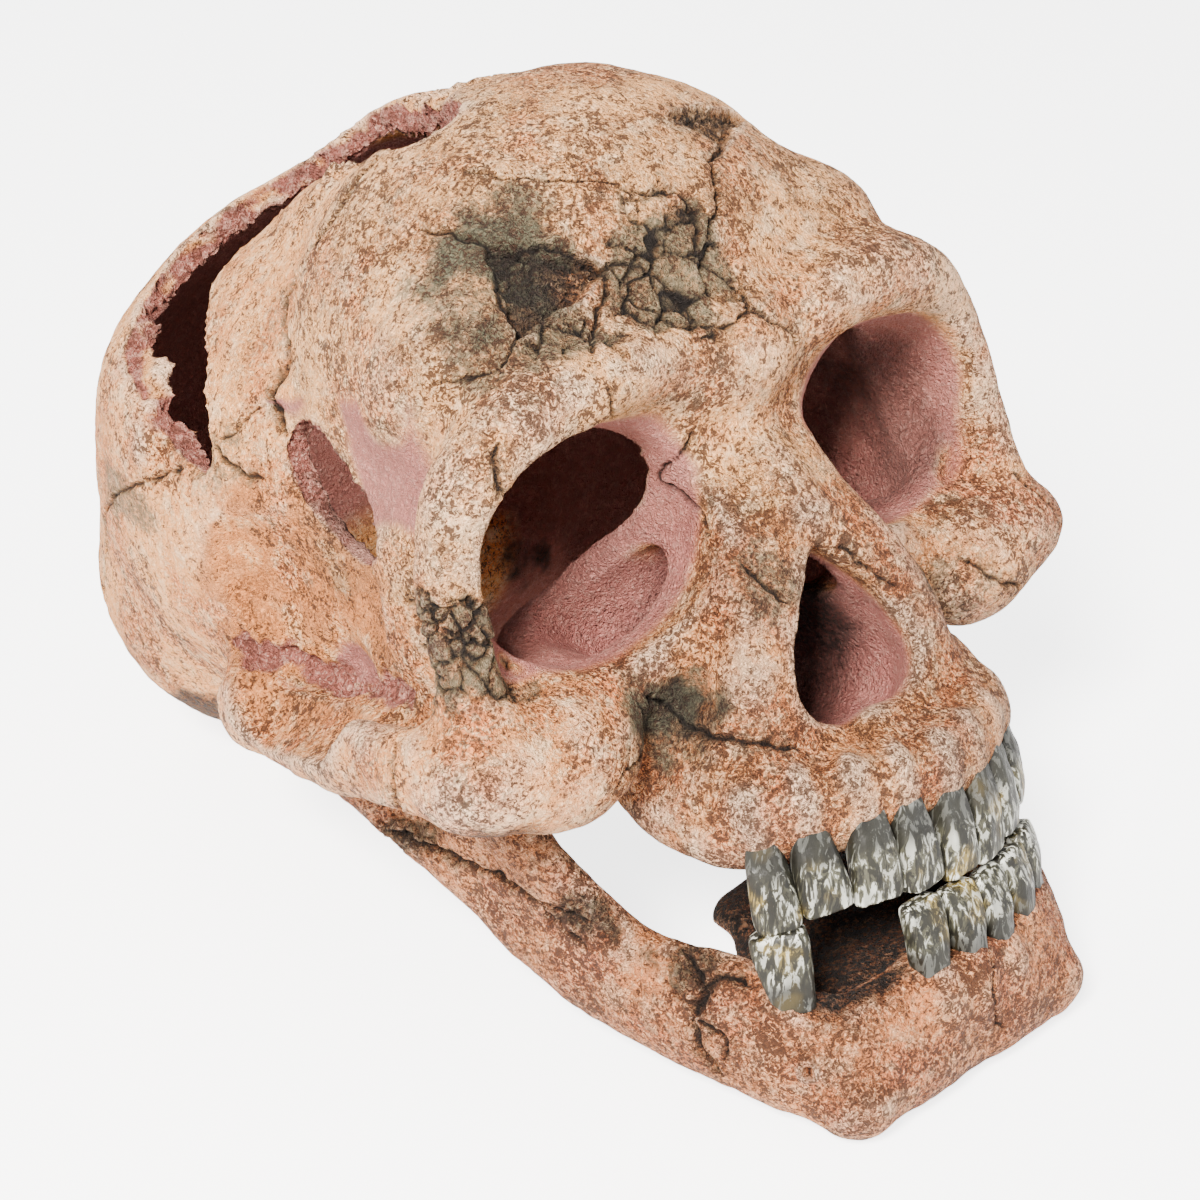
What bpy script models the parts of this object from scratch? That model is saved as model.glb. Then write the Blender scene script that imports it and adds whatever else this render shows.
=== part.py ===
"""A decorative hollow skull, cast in resin: human-like, heavy-browed, broken and mended in places.

Shapes are placed in the skull's own frame, in millimetres: +X is the skull's left, -Y is where it
faces and +Z is up when it looks level. The origin of that frame lies between the ear openings. The
finished pieces are leaned back, so that the skull rests on its chin and the back of its head, and
are then written in metres with the floor at Z = 0.
"""

import math

import bmesh
import bpy
import numpy as np
from mathutils import Euler, Matrix, Vector

MM = 0.001
SIDES = (-1, 1)
LEAN_DEG = 21.4
FLOOR_LEVEL = -51.2
BACK_SHIFT = 19.4

# Casting: grid size of the fused masses, wall of the hollow braincase, gap between pieces
VOXEL = 2.0
WALL = 6.0
SEAM = 0.35
CRANIUM_FACES = 6200
JAW_FACES = 1500

# Where the cranium is divided: behind the forehead, under the brows, and beside the nose
CORONAL_Y = -27.0
CORONAL_TILT = -0.15
BROW_Z = 13.0
CHEEK_X = 37.0
CHEEK_TILT = -0.32

# Rows of teeth: half-ellipse through the middles of the crowns
ARCH_X = 37.0
ARCH_Y = 25.0
ARCH_BACK = -82.0
BITE_Z = -55.6
BITE_TILT = -0.1
UPPER_CROWN = 12.5
LOWER_CROWN = 12.0
BITE_GAP = 0.8
TOOTH_GAP = 0.7
CROWN_DEPTH = 6.6
ROOT = 4.0
ROOT_LEAN = 2.5

# Eye sockets: half their height, the right one's floor a little lower
SOCKET_LEFT = 18.5
SOCKET_RIGHT = 20.0

# Template meshes by segment count
BALLS = {}


def clear_scene():
    """Removes everything that a new file holds."""
    for obj in list(bpy.data.objects):
        bpy.data.objects.remove(obj, do_unlink=True)


def collection(name):
    """Makes a collection and links it to the scene."""
    made = bpy.data.collections.new(name)
    bpy.context.scene.collection.children.link(made)
    return made


def object_from(bm, name, home):
    """Turns a bmesh in millimetres into an object in metres."""
    mesh = bpy.data.meshes.new(name)
    bmesh.ops.scale(bm, vec=(MM, MM, MM), verts=bm.verts)
    bm.to_mesh(mesh)
    bm.free()
    obj = bpy.data.objects.new(name, mesh)
    home.objects.link(obj)
    return obj


def unit_ball(segments, rings):
    """A closed ball of radius 1 as a mesh, which every rounded mass is a stretched copy of."""
    bm = bmesh.new()
    bmesh.ops.create_uvsphere(bm, u_segments=segments, v_segments=rings, radius=1)
    mesh = bpy.data.meshes.new("ball")
    bm.to_mesh(mesh)
    bm.free()
    return mesh


def ellipsoid(bm, centre, radii, turn=(0, 0, 0), segments=28, rings=18):
    """Adds a closed ellipsoid, with its turn in degrees about X, Y and Z."""
    spin = Euler([math.radians(a) for a in turn]).to_matrix().to_4x4()
    place = Matrix.Translation(Vector(centre)) @ spin @ Matrix.Diagonal((*radii, 1))
    if (segments, rings) not in BALLS:
        BALLS[(segments, rings)] = unit_ball(segments, rings)
    copy = BALLS[(segments, rings)].copy()
    copy.transform(place)
    bm.from_mesh(copy)
    bpy.data.meshes.remove(copy)


def smooth_path(stations, steps):
    """Stations along a Catmull-Rom curve through the given ones, radii blended with the places."""
    p = np.array(stations, float)
    p = np.vstack([2 * p[0] - p[1], p, 2 * p[-1] - p[-2]])
    out = []
    for a, b, c, d in zip(p, p[1:], p[2:], p[3:]):
        for t in np.arange(steps) / steps:
            bend = 2 * a - 5 * b + 4 * c - d
            out.append(0.5 * (2 * b + (c - a) * t + bend * t**2 + (3 * b - a - 3 * c + d) * t**3))
    out.append(p[-2])
    return np.array(out)


def bar(bm, stations, steps=4, side=1):
    """Adds a bent bar of overlapping ellipsoids; a station is x, y, z and the three radii there."""
    for x, y, z, rx, ry, rz in smooth_path(stations, steps):
        ellipsoid(bm, (side * x, y, z), (rx, ry, rz), segments=16, rings=10)


def apply_all(obj):
    """Applies the modifiers of an object."""
    graph = bpy.context.evaluated_depsgraph_get()
    made = bpy.data.meshes.new_from_object(obj.evaluated_get(graph))
    old = obj.data
    obj.modifiers.clear()
    obj.data = made
    bpy.data.meshes.remove(old)


def fuse(obj, rounds, voxel=VOXEL):
    """Melts overlapping masses into one skin and softens it."""
    remesh = obj.modifiers.new("fuse", "REMESH")
    remesh.mode = "VOXEL"
    remesh.voxel_size = voxel * MM
    soften = obj.modifiers.new("soften", "SMOOTH")
    soften.factor = 0.5
    soften.iterations = rounds
    apply_all(obj)


def combine(obj, tool, operation, solver="EXACT"):
    """Applies one Boolean with a tool, which is then removed."""
    cut = obj.modifiers.new("cut", "BOOLEAN")
    cut.operation = operation
    cut.object = tool
    cut.solver = solver
    apply_all(obj)
    bpy.data.objects.remove(tool)


def thin_out(obj, faces):
    """Reduces a skin to about the wanted number of triangles."""
    obj.data.calc_loop_triangles()
    fewer = obj.modifiers.new("fewer", "DECIMATE")
    fewer.ratio = min(1.0, faces / len(obj.data.loop_triangles))
    apply_all(obj)


def keep_largest(obj):
    """Drops every loose crumb but the body with the most faces."""
    bm = bmesh.new()
    bm.from_mesh(obj.data)
    seen = set()
    groups = []
    for start in bm.faces:
        if start in seen:
            continue
        seen.add(start)
        group = [start]
        for face in group:
            for edge in face.edges:
                for other in edge.link_faces:
                    if other not in seen:
                        seen.add(other)
                        group.append(other)
        groups.append(group)
    groups.sort(key=len)
    crumbs = [face for group in groups[:-1] for face in group]
    bmesh.ops.delete(bm, geom=crumbs, context="FACES")
    bm.to_mesh(obj.data)
    bm.free()


def braincase_masses(bm):
    """The rounded vault, low and long, with a steep forehead."""
    ellipsoid(bm, (0, 10, 24), (63, 79, 58))
    ellipsoid(bm, (0, -44, 45), (54, 46, 48))
    ellipsoid(bm, (0, -18, 46), (44, 54, 44))
    ellipsoid(bm, (0, 46, 7), (57, 47, 43))
    ellipsoid(bm, (0, -5, -4), (50, 60, 20))
    for side in SIDES:
        ellipsoid(bm, (side * 28, 20, 34), (34, 40, 36))
        ellipsoid(bm, (side * 34, -62, 46), (24, 24, 22))
        ellipsoid(bm, (side * 47, -54, 8), (13, 26, 26))


def temple_hollow(bm):
    """What is scooped from each side: behind the eye socket and behind the ear."""
    for side in SIDES:
        ellipsoid(bm, (side * 75, -24, 8), (22, 30, 30))
        ellipsoid(bm, (side * 63, 16, -15), (13, 10, 9))


def face_masses(bm):
    """Brows, eye rims, cheekbones and their arches, nose, and the arch of the upper jaw."""
    ellipsoid(bm, (0, -80, 40), (20, 14, 14))
    brow = [(8, -83, 39, 8, 8, 8), (26, -86, 43, 8, 9, 8), (44, -84, 41, 8, 9, 8)]
    brow += [(56, -79, 31, 8, 8, 7), (62, -77, 18, 6, 7, 7)]
    outer_rim = [(62, -77, 18, 6, 7, 7), (63, -77, 5, 6, 7, 7), (63, -77, -7, 8, 8, 7)]
    lower_rim = [(58, -76, -8.5, 7, 7, 7), (44, -76, -9.5, 7, 7, 7), (30, -78, -6.5, 7, 7, 7)]
    lower_rim += [(18, -81, 3, 7, 7, 7), (12, -80, 16, 6, 7, 7)]
    nose_side = [(9, -79, 24, 5, 6, 6), (12, -88, 6, 6, 7, 7), (18, -92, -10, 7, 7, 7)]
    nose_side += [(20, -92, -26, 8, 8, 8)]
    nose_edge = [(3, -90, 9, 6, 6, 6), (8, -92, 0, 6, 6, 6), (13, -93, -9, 6, 6, 7)]
    nose_edge += [(15, -93, -18, 6, 7, 7), (12, -95, -27, 6, 6, 5)]
    arch = [(70, -72, -11, 6, 8, 9), (70, -48, -10.5, 5, 8, 8.5), (65, -22, -10, 5, 8, 9)]
    arch += [(60, 2, -8, 6, 8, 9)]
    gums = [(27, -67, -28, 7, 8, 7), (30.5, -79, -32.5, 7, 8, 7.5), (28, -91, -36.5, 7, 7, 7.5)]
    gums += [(14, -100, -38, 7, 7, 8), (0, -102, -38, 7, 7, 8)]
    for side in SIDES:
        bar(bm, brow, 4, side)
        bar(bm, outer_rim, 4, side)
        bar(bm, lower_rim, 4, side)
        bar(bm, nose_side, 4, side)
        bar(bm, nose_edge, 4, side)
        bar(bm, arch, 5, side)
        bar(bm, gums, 4, side)
        ellipsoid(bm, (side * 62, -76, -13.5), (15, 12.5, 11))
        ellipsoid(bm, (side * 50, -79, -15.5), (16, 10.5, 12.5))
        ellipsoid(bm, (side * 56, -30, -12), (14, 34, 7))
        ellipsoid(bm, (side * 38, -58, -14), (15, 20, 12))
        ellipsoid(bm, (side * 23, -88, -32), (12, 12, 14))
    bar(bm, [(0, -76, 30, 8, 7, 7), (0, -84, 20, 8, 7, 7), (0, -91, 9, 8, 7, 6)], 5)
    ellipsoid(bm, (0, -70, -22), (34, 28, 16))
    ellipsoid(bm, (0, -96, -32), (16, 8, 10))


def jaw_masses(bm):
    """The lower jaw: square chin, deep body and slanted branches that reach up under the arches."""
    body = [(0, -101, -80, 8, 7, 13.5), (14, -102, -80, 8, 7, 13.5), (26, -98, -78.5, 7, 7, 13.5)]
    body += [(34, -84, -70, 6, 8, 14.5), (39, -66, -63.5, 6, 8, 12.5), (42, -53, -57.5, 6, 8, 12)]
    rear_edge = [(42, -50, -58, 5, 8, 9), (47, -36, -41, 5, 8, 8), (53, -18, -21, 6, 8, 8)]
    front_edge = [(41, -66, -55, 5, 8, 9), (46, -57.5, -39, 4, 8, 8), (50, -50, -23, 4, 8, 8)]
    middle = [(41, -57, -57, 4, 10, 9), (46, -47, -41, 4, 10, 9), (50, -35, -25, 4, 9, 8)]
    for side in SIDES:
        bar(bm, body, 5, side)
        for stations in (rear_edge, front_edge, middle):
            bar(bm, stations, 5, side)
        ellipsoid(bm, (side * 24, -99, -86), (9, 9, 8))
    ellipsoid(bm, (0, -84, -77), (34, 18, 8))
    ellipsoid(bm, (0, -66, -71.5), (33, 15, 5))
    ellipsoid(bm, (0, -54, -67.5), (34, 14, 4.5))


def socket_masses(bm, side):
    """What the eye socket takes away: a funnel that narrows as it goes back to the hollow."""
    tall = SOCKET_LEFT if side > 0 else SOCKET_RIGHT
    stations = [(40, -125, 16, 23, 14, tall), (38, -95, 16, 22.5, 14, tall), (36, -80, 16, 22.5, 12, tall)]
    stations += [(31, -62, 15, 20, 10, 18), (27, -44, 17, 16, 8, 15)]
    bar(bm, stations, 5, side)


def nose_cutter(bm):
    """What the nose opening takes away: a pear shape, drawn inward."""
    half = [(0, 4), (6.5, -3), (11, -10), (13.5, -17), (12, -22.5), (6, -25), (0, -24)]
    outline = half + [(-x, z) for x, z in reversed(half[1:-1])]
    rings = []
    for y, spread, drop in ((-125, 1, 0), (-97, 1, 0), (-89, 1.25, 0), (-45, 1.15, 2)):
        rings.append([bm.verts.new((x * spread, y, z * spread - drop)) for x, z in outline])
    bm.faces.new(rings[0])
    bm.faces.new(list(reversed(rings[-1])))
    for near, deep in zip(rings, rings[1:]):
        for i in range(len(outline)):
            j = (i + 1) % len(outline)
            bm.faces.new((near[j], near[i], deep[i], deep[j]))
    bmesh.ops.recalc_face_normals(bm, faces=bm.faces)


def gap_masses(bm):
    """What the long break over the crown takes away, and the slot in the right temple."""
    crown = [(-21, -46, 88, 6, 6, 10), (-17, -30, 87, 8, 6, 12), (-12, -12, 86, 9, 7, 12)]
    crown += [(-15, 6, 80, 9, 8, 12), (-28, 15, 73, 7, 7, 12), (-40, 17, 67, 8, 7, 10)]
    crown += [(-48, 12, 61, 10, 7, 7), (-53, 5, 54, 10, 6, 5), (-56, 1, 47, 10, 5, 4)]
    crown += [(-58, -4, 40, 8, 3, 3)]
    bar(bm, crown, 6)
    bar(bm, [(-51, -30, 39, 12, 6, 4), (-50, -33, 31, 12, 6, 4), (-48, -36, 22, 12, 6, 4)], 5)


def base_cutter(bm):
    """The opening in the base."""
    ellipsoid(bm, (0, 8, -26), (19, 22, 26))


def made_of(home, name, masses, rounds, *args):
    """Builds an object from a function that adds masses, fused into one skin."""
    bm = bmesh.new()
    masses(bm, *args)
    obj = object_from(bm, name, home)
    fuse(obj, rounds)
    return obj


def moved_skin(obj, name, home, distance):
    """A copy of a closed skin, moved along its normals by a distance in millimetres."""
    mesh = obj.data.copy()
    normals = np.empty(len(mesh.vertices) * 3)
    mesh.vertex_normals.foreach_get("vector", normals)
    places = np.empty(len(mesh.vertices) * 3)
    mesh.vertices.foreach_get("co", places)
    mesh.vertices.foreach_set("co", places + normals * distance * MM)
    copy = bpy.data.objects.new(name, mesh)
    home.objects.link(copy)
    return copy


def joined(target, other):
    """Adds the mesh of another object to the target and removes the other object."""
    bm = bmesh.new()
    bm.from_mesh(target.data)
    bm.from_mesh(other.data)
    bm.to_mesh(target.data)
    bm.free()
    bpy.data.objects.remove(other)


def tooth(bm, angle_deg, up, width, height, edge_share):
    """Adds one crown on the arch: a bevelled block with a root, thinner towards its biting edge."""
    angle = math.radians(angle_deg)
    x = ARCH_X * math.sin(angle)
    y = ARCH_BACK - ARCH_Y * math.cos(angle)
    facing = math.atan2(math.sin(angle) / ARCH_X, math.cos(angle) / ARCH_Y)
    edge_z = BITE_Z + BITE_TILT * x + up * BITE_GAP / 2
    length = height + ROOT
    made = bmesh.ops.create_cube(bm, size=1)
    verts = made["verts"]
    for v in verts:
        at_edge = v.co.z * up < 0
        share = edge_share if at_edge else 1.0
        wide = 1.0 if at_edge else 0.8
        inward = 0.0 if at_edge else ROOT_LEAN
        y_local = v.co.y * CROWN_DEPTH * share + inward
        v.co = Vector((v.co.x * width * wide, y_local, v.co.z * length))
    edges = {e for v in verts for e in v.link_edges}
    made = bmesh.ops.bevel(bm, geom=list(edges), offset=1.1, segments=1, affect="EDGES")
    middle = edge_z + up * length / 2
    place = Matrix.Translation((x, y, middle)) @ Matrix.Rotation(facing, 4, "Z")
    found = {v for f in made["faces"] for v in f.verts}
    bmesh.ops.transform(bm, matrix=place, verts=list(found))


def add_teeth(jaw, tools, row, up, height):
    """Fuses a row of crowns into a jaw, roots sunk into the gum; up is 1 for the upper row."""
    crowns = bpy.data.collections.new("crowns")
    tools.children.link(crowns)
    for angle, width, edge_share in row:
        bm = bmesh.new()
        tooth(bm, angle, up, width - TOOTH_GAP, height, edge_share)
        object_from(bm, "crown", crowns)
    union = jaw.modifiers.new("teeth", "BOOLEAN")
    union.operation = "UNION"
    union.operand_type = "COLLECTION"
    union.collection = crowns
    union.solver = "EXACT"
    apply_all(jaw)
    for obj in list(crowns.objects):
        bpy.data.objects.remove(obj)
    bpy.data.collections.remove(crowns)


def region(name, home, low, high, shape):
    """A box between two corners, its corners then moved by a function of the place."""
    bm = bmesh.new()
    bmesh.ops.create_cube(bm, size=1)
    for v in bm.verts:
        v.co = Vector([low[i] if v.co[i] < 0 else high[i] for i in range(3)])
        v.co = Vector(shape(*v.co))
    return object_from(bm, name, home)


def coronal(z, side):
    """How far back the dividing plane behind the forehead lies at a height, on one side of the gap."""
    return CORONAL_Y + CORONAL_TILT * (z - 42) + side * SEAM / 2


def cheek(z, offset):
    """How far out the dividing plane beside the nose lies at a height."""
    return CHEEK_X + CHEEK_TILT * (z + 5) + offset * SEAM / 2


def divide(cranium, home, tools):
    """Cuts the cranium into its named pieces, with a thin gap at each joint."""
    far = 200

    def front(x, y, z):
        return (x, coronal(z, -1), z) if y > 0 else (x, y, z)

    def back(x, y, z):
        return (x, coronal(z, 1), z) if y < 0 else (x, y, z)

    def middle(x, y, z):
        return (math.copysign(cheek(z, -1), x), front(x, y, z)[1], z)

    def outer(side):
        def shape(x, y, z):
            inward = x * side < far / 2
            return (side * cheek(z, 1) if inward else x, front(x, y, z)[1], z)

        return shape

    low_top = BROW_Z - SEAM / 2
    regions = {
        "forehead": ((-far, -far, BROW_Z + SEAM / 2), (far, far, far), front),
        "back_of_head": ((-far, -far, -far), (far, far, far), back),
        "upper_jaw": ((-1, -far, -far), (1, far, low_top), middle),
        "cheekbone_left": ((0, -far, -far), (far, far, low_top), outer(1)),
        "cheekbone_right": ((-far, -far, -far), (0, far, low_top), outer(-1)),
    }
    pieces = {}
    for name, (low, high, shape) in regions.items():
        piece = bpy.data.objects.new(name, cranium.data.copy())
        home.objects.link(piece)
        combine(piece, region("region", tools, low, high, shape), "INTERSECT")
        keep_largest(piece)
        pieces[name] = piece
    bpy.data.objects.remove(cranium)
    return pieces


def build_cranium(home, tools):
    """The hollow cranium in one skin, with its openings and breaks."""
    cranium = made_of(home, "cranium", braincase_masses, 50)
    combine(cranium, made_of(tools, "temples", temple_hollow, 2), "DIFFERENCE", "MANIFOLD")
    fuse(cranium, 12)
    hollow = moved_skin(cranium, "hollow", tools, -WALL)
    fuse(hollow, 6)
    bm = bmesh.new()
    face_masses(bm)
    joined(cranium, object_from(bm, "face", tools))
    fuse(cranium, 6)
    combine(cranium, hollow, "DIFFERENCE", "MANIFOLD")
    for side in SIDES:
        combine(cranium, made_of(tools, "socket", socket_masses, 3, side), "DIFFERENCE", "MANIFOLD")
    for name, cutter in (("nose", nose_cutter), ("base", base_cutter)):
        bm = bmesh.new()
        cutter(bm)
        combine(cranium, object_from(bm, name, tools), "DIFFERENCE", "MANIFOLD")
    fuse(cranium, 4)
    combine(cranium, made_of(tools, "gap", gap_masses, 1), "DIFFERENCE", "MANIFOLD")
    fuse(cranium, 1)
    keep_largest(cranium)
    return cranium


def lean_and_rest(pieces, tools):
    """Leans every piece back, drops it to the floor and flattens what touches the floor."""
    place = Matrix.Translation((0, BACK_SHIFT * MM, -FLOOR_LEVEL * MM))
    place = place @ Matrix.Rotation(-math.radians(LEAN_DEG), 4, "X")
    for piece in pieces.values():
        piece.data.transform(place)
    for name in ("back_of_head", "lower_jaw"):
        floor = region("floor", tools, (-300, -300, -100), (300, 300, 0), lambda x, y, z: (x, y, z))
        combine(pieces[name], floor, "DIFFERENCE")


def paint(obj, colour, roughness):
    """Gives a piece its own material."""
    material = bpy.data.materials.new(obj.name)
    material.use_nodes = True
    shader = material.node_tree.nodes["Principled BSDF"]
    shader.inputs["Base Color"].default_value = (*colour, 1)
    shader.inputs["Roughness"].default_value = roughness
    obj.data.materials.clear()
    obj.data.materials.append(material)


def build():
    """Builds every piece of the skull."""
    clear_scene()
    home = collection("resin_skull")
    tools = collection("cutters")
    cranium = build_cranium(home, tools)
    jaw = made_of(home, "lower_jaw", jaw_masses, 4)
    clearance = moved_skin(cranium, "clearance", tools, SEAM)
    combine(jaw, clearance, "DIFFERENCE", "MANIFOLD")
    keep_largest(jaw)
    thin_out(cranium, CRANIUM_FACES)
    thin_out(jaw, JAW_FACES)
    pieces = divide(cranium, home, tools)
    pieces["lower_jaw"] = jaw
    upper = [(-52, 8, 0.8), (-36.5, 8.8, 0.5), (-21.5, 9, 0.5), (-8, 8, 0.5)]
    upper += [(6, 8, 0.5), (19.5, 7.6, 0.5), (33, 8.2, 0.7), (48, 8.4, 0.8)]
    add_teeth(pieces["upper_jaw"], tools, upper, 1, UPPER_CROWN)
    lower = [(-53, 10, 0.9), (-10, 7.6, 0.5), (3, 7.6, 0.5), (16, 7.8, 0.5)]
    lower += [(30, 8, 0.7), (44.5, 8.2, 0.8)]
    add_teeth(jaw, tools, lower, -1, LOWER_CROWN)
    lean_and_rest(pieces, tools)
    bone = (0.72, 0.47, 0.3)
    for piece in pieces.values():
        keep_largest(piece)
        piece.data.shade_smooth()
        paint(piece, bone, 0.75)
    for ball in BALLS.values():
        bpy.data.meshes.remove(ball)


build()
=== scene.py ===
"""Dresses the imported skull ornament: a hollow resin casting, cracked, stained and painted like old bone.

Shapes are placed in the skull's own frame, in millimetres: +X is the skull's left, -Y is where it
faces and +Z is up when it looks level. Finished pieces are leaned back and written in metres.
"""

import logging
import math
from dataclasses import dataclass, field
from enum import Enum
from itertools import product
from typing import Callable, Iterable, Sequence

import bmesh
import bpy
import numpy as np
from mathutils import Matrix, Vector
from mathutils.bvhtree import BVHTree
from mathutils.kdtree import KDTree


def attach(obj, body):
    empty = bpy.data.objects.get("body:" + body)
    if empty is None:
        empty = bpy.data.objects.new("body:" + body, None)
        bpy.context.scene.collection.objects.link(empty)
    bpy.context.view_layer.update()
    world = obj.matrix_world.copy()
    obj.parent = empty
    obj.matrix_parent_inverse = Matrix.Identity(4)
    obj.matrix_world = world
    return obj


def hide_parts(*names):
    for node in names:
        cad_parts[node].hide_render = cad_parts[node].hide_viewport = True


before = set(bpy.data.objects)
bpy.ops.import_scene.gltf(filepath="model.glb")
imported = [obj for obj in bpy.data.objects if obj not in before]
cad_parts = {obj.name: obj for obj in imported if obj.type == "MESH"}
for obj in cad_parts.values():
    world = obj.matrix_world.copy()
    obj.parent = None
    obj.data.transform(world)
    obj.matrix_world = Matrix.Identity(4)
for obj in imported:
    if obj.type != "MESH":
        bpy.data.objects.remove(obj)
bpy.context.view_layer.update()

log = logging.getLogger("skull")

MM = 0.001
SIDES = (-1, 1)
LEAN_DEG = 21.4
FLOOR_LEVEL = -51.2
BACK_SHIFT = 19.4
TABLE_ROWS = 4096
SCRAMBLERS = (73856093, 19349663, 83492791)

Point = tuple[float, float, float]
Colour = tuple[float, float, float]
Station = tuple[float, float, float, float, float, float]


class Node(Enum):
    """The CAD nodes that the pieces of the scene stand for."""

    FOREHEAD = "forehead"
    BACK_OF_HEAD = "back_of_head"
    CHEEKBONE_LEFT = "cheekbone_left"
    CHEEKBONE_RIGHT = "cheekbone_right"
    UPPER_JAW = "upper_jaw"
    LOWER_JAW = "lower_jaw"


class Mark(Enum):
    """What is painted on a skin, each kept as a number from 0 to 1 at every vertex."""

    CRACK = "crack"
    BROKEN = "broken"
    INSIDE = "inside"
    STAIN = "stain"
    # painted shade in deep and hidden places such as the eye sockets, the mouth and crevices, and some dark
    # spots
    SOOT = "soot"
    RIDGE = "ridge"
    HOLLOW = "hollow"
    OCHRE = "ochre"


def placed(points: np.ndarray) -> np.ndarray:
    """Moves points from the skull's frame to the row frame.

    Args:
        points: Rows of x, y, z in millimetres.

    Returns:
        Rows of x, y, z in metres, leaned back and at the floor's level.
    """
    lean = math.radians(LEAN_DEG)
    x, y, z = points.T
    back = y * math.cos(lean) + z * math.sin(lean) + BACK_SHIFT
    up = -y * math.sin(lean) + z * math.cos(lean) - FLOOR_LEVEL
    return np.stack([x, back, up], 1) * MM


def scrambled(cell: np.ndarray) -> np.ndarray:
    """Gives each row of three whole numbers its row in a table of random values."""
    a, b, c = (cell * SCRAMBLERS).T
    return (a ^ b ^ c) & (TABLE_ROWS - 1)


def grain(points: np.ndarray, size: float, seed: int = 0) -> np.ndarray:
    """Smooth noise over space.

    Args:
        points: Rows of x, y, z.
        size: Width of one lump of the noise, in the unit of the points.
        seed: Picks one of many patterns.

    Returns:
        One number from about -1 to 1 for each point.
    """
    table = np.random.RandomState(seed).normal(size=(TABLE_ROWS, 3))
    table /= np.linalg.norm(table, axis=1, keepdims=True)
    q = points / size + 31.7
    base = np.floor(q).astype(np.int64)
    part = q - base
    ease = part**3 * (part * (part * 6 - 15) + 10)
    total = np.zeros(len(points))
    for corner in product((0, 1), repeat=3):
        cell = base + corner
        slope = table[scrambled(cell)]
        weight = np.prod(np.where(np.array(corner) == 1, ease, 1 - ease), axis=1)
        total += weight * np.einsum("ij,ij->i", slope, part - corner)
    return np.clip(total * 1.6, -1, 1)


def layered(points: np.ndarray, size: float, layers: int, seed: int = 0) -> np.ndarray:
    """Noise of several sizes together, each half as wide and half as strong as the one before."""
    total = np.zeros(len(points))
    for i in range(layers):
        total += grain(points, size / 2**i, seed + i) / 2**i
    return total


def chunks(points: np.ndarray, size: float, seed: int = 0) -> tuple[np.ndarray, np.ndarray]:
    """Divides space into cells, as cracked stone is.

    Args:
        points: Rows of x, y, z.
        size: About the width of one cell.
        seed: Picks one of many patterns.

    Returns:
        How far each point is from the nearest border between cells, in the unit of the points,
        and a number from 0 to 1 that is the same over a whole cell.
    """
    table = np.random.RandomState(seed).uniform(size=(TABLE_ROWS, 4))
    q = points / size + 17.3
    base = np.floor(q).astype(np.int64)
    nearest = np.full(len(q), 9.0)
    second = np.full(len(q), 9.0)
    tone = np.zeros(len(q))
    for step in product((-1, 0, 1), repeat=3):
        cell = base + step
        key = scrambled(cell)
        away = np.linalg.norm(cell + table[key, :3] - q, axis=1)
        closer = away < nearest
        second = np.where(closer, nearest, np.minimum(second, away))
        nearest = np.where(closer, away, nearest)
        tone = np.where(closer, table[key, 3], tone)
    return (second - nearest) * size * 0.5, tone


def fade(values: np.ndarray, low: float, high: float) -> np.ndarray:
    """Goes smoothly from 0 at the low value to 1 at the high one."""
    t = np.clip((values - low) / (high - low), 0, 1)
    return t * t * (3 - 2 * t)


def smooth_path(stations: Sequence[Sequence[float]], steps: int) -> np.ndarray:
    """Stations along a smooth curve through the given ones.

    Args:
        stations: Rows of numbers: a place, and whatever else changes along the curve.
        steps: How many stations to make for each given one.

    Returns:
        The rows along the curve, the last given one included.
    """
    p = np.array(stations, float)
    p = np.vstack([2 * p[0] - p[1], p, 2 * p[-1] - p[-2]])
    out = []
    for a, b, c, d in zip(p, p[1:], p[2:], p[3:]):
        for t in np.arange(steps) / steps:
            bend = 2 * a - 5 * b + 4 * c - d
            out.append(0.5 * (2 * b + (c - a) * t + bend * t**2 + (3 * b - a - 3 * c + d) * t**3))
    out.append(p[-2])
    return np.array(out)


def linked(name: str, data: bpy.types.ID) -> bpy.types.Object:
    """Makes an object of some data and links it to the scene."""
    obj = bpy.data.objects.new(name, data)
    bpy.context.scene.collection.objects.link(obj)
    return obj


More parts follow.
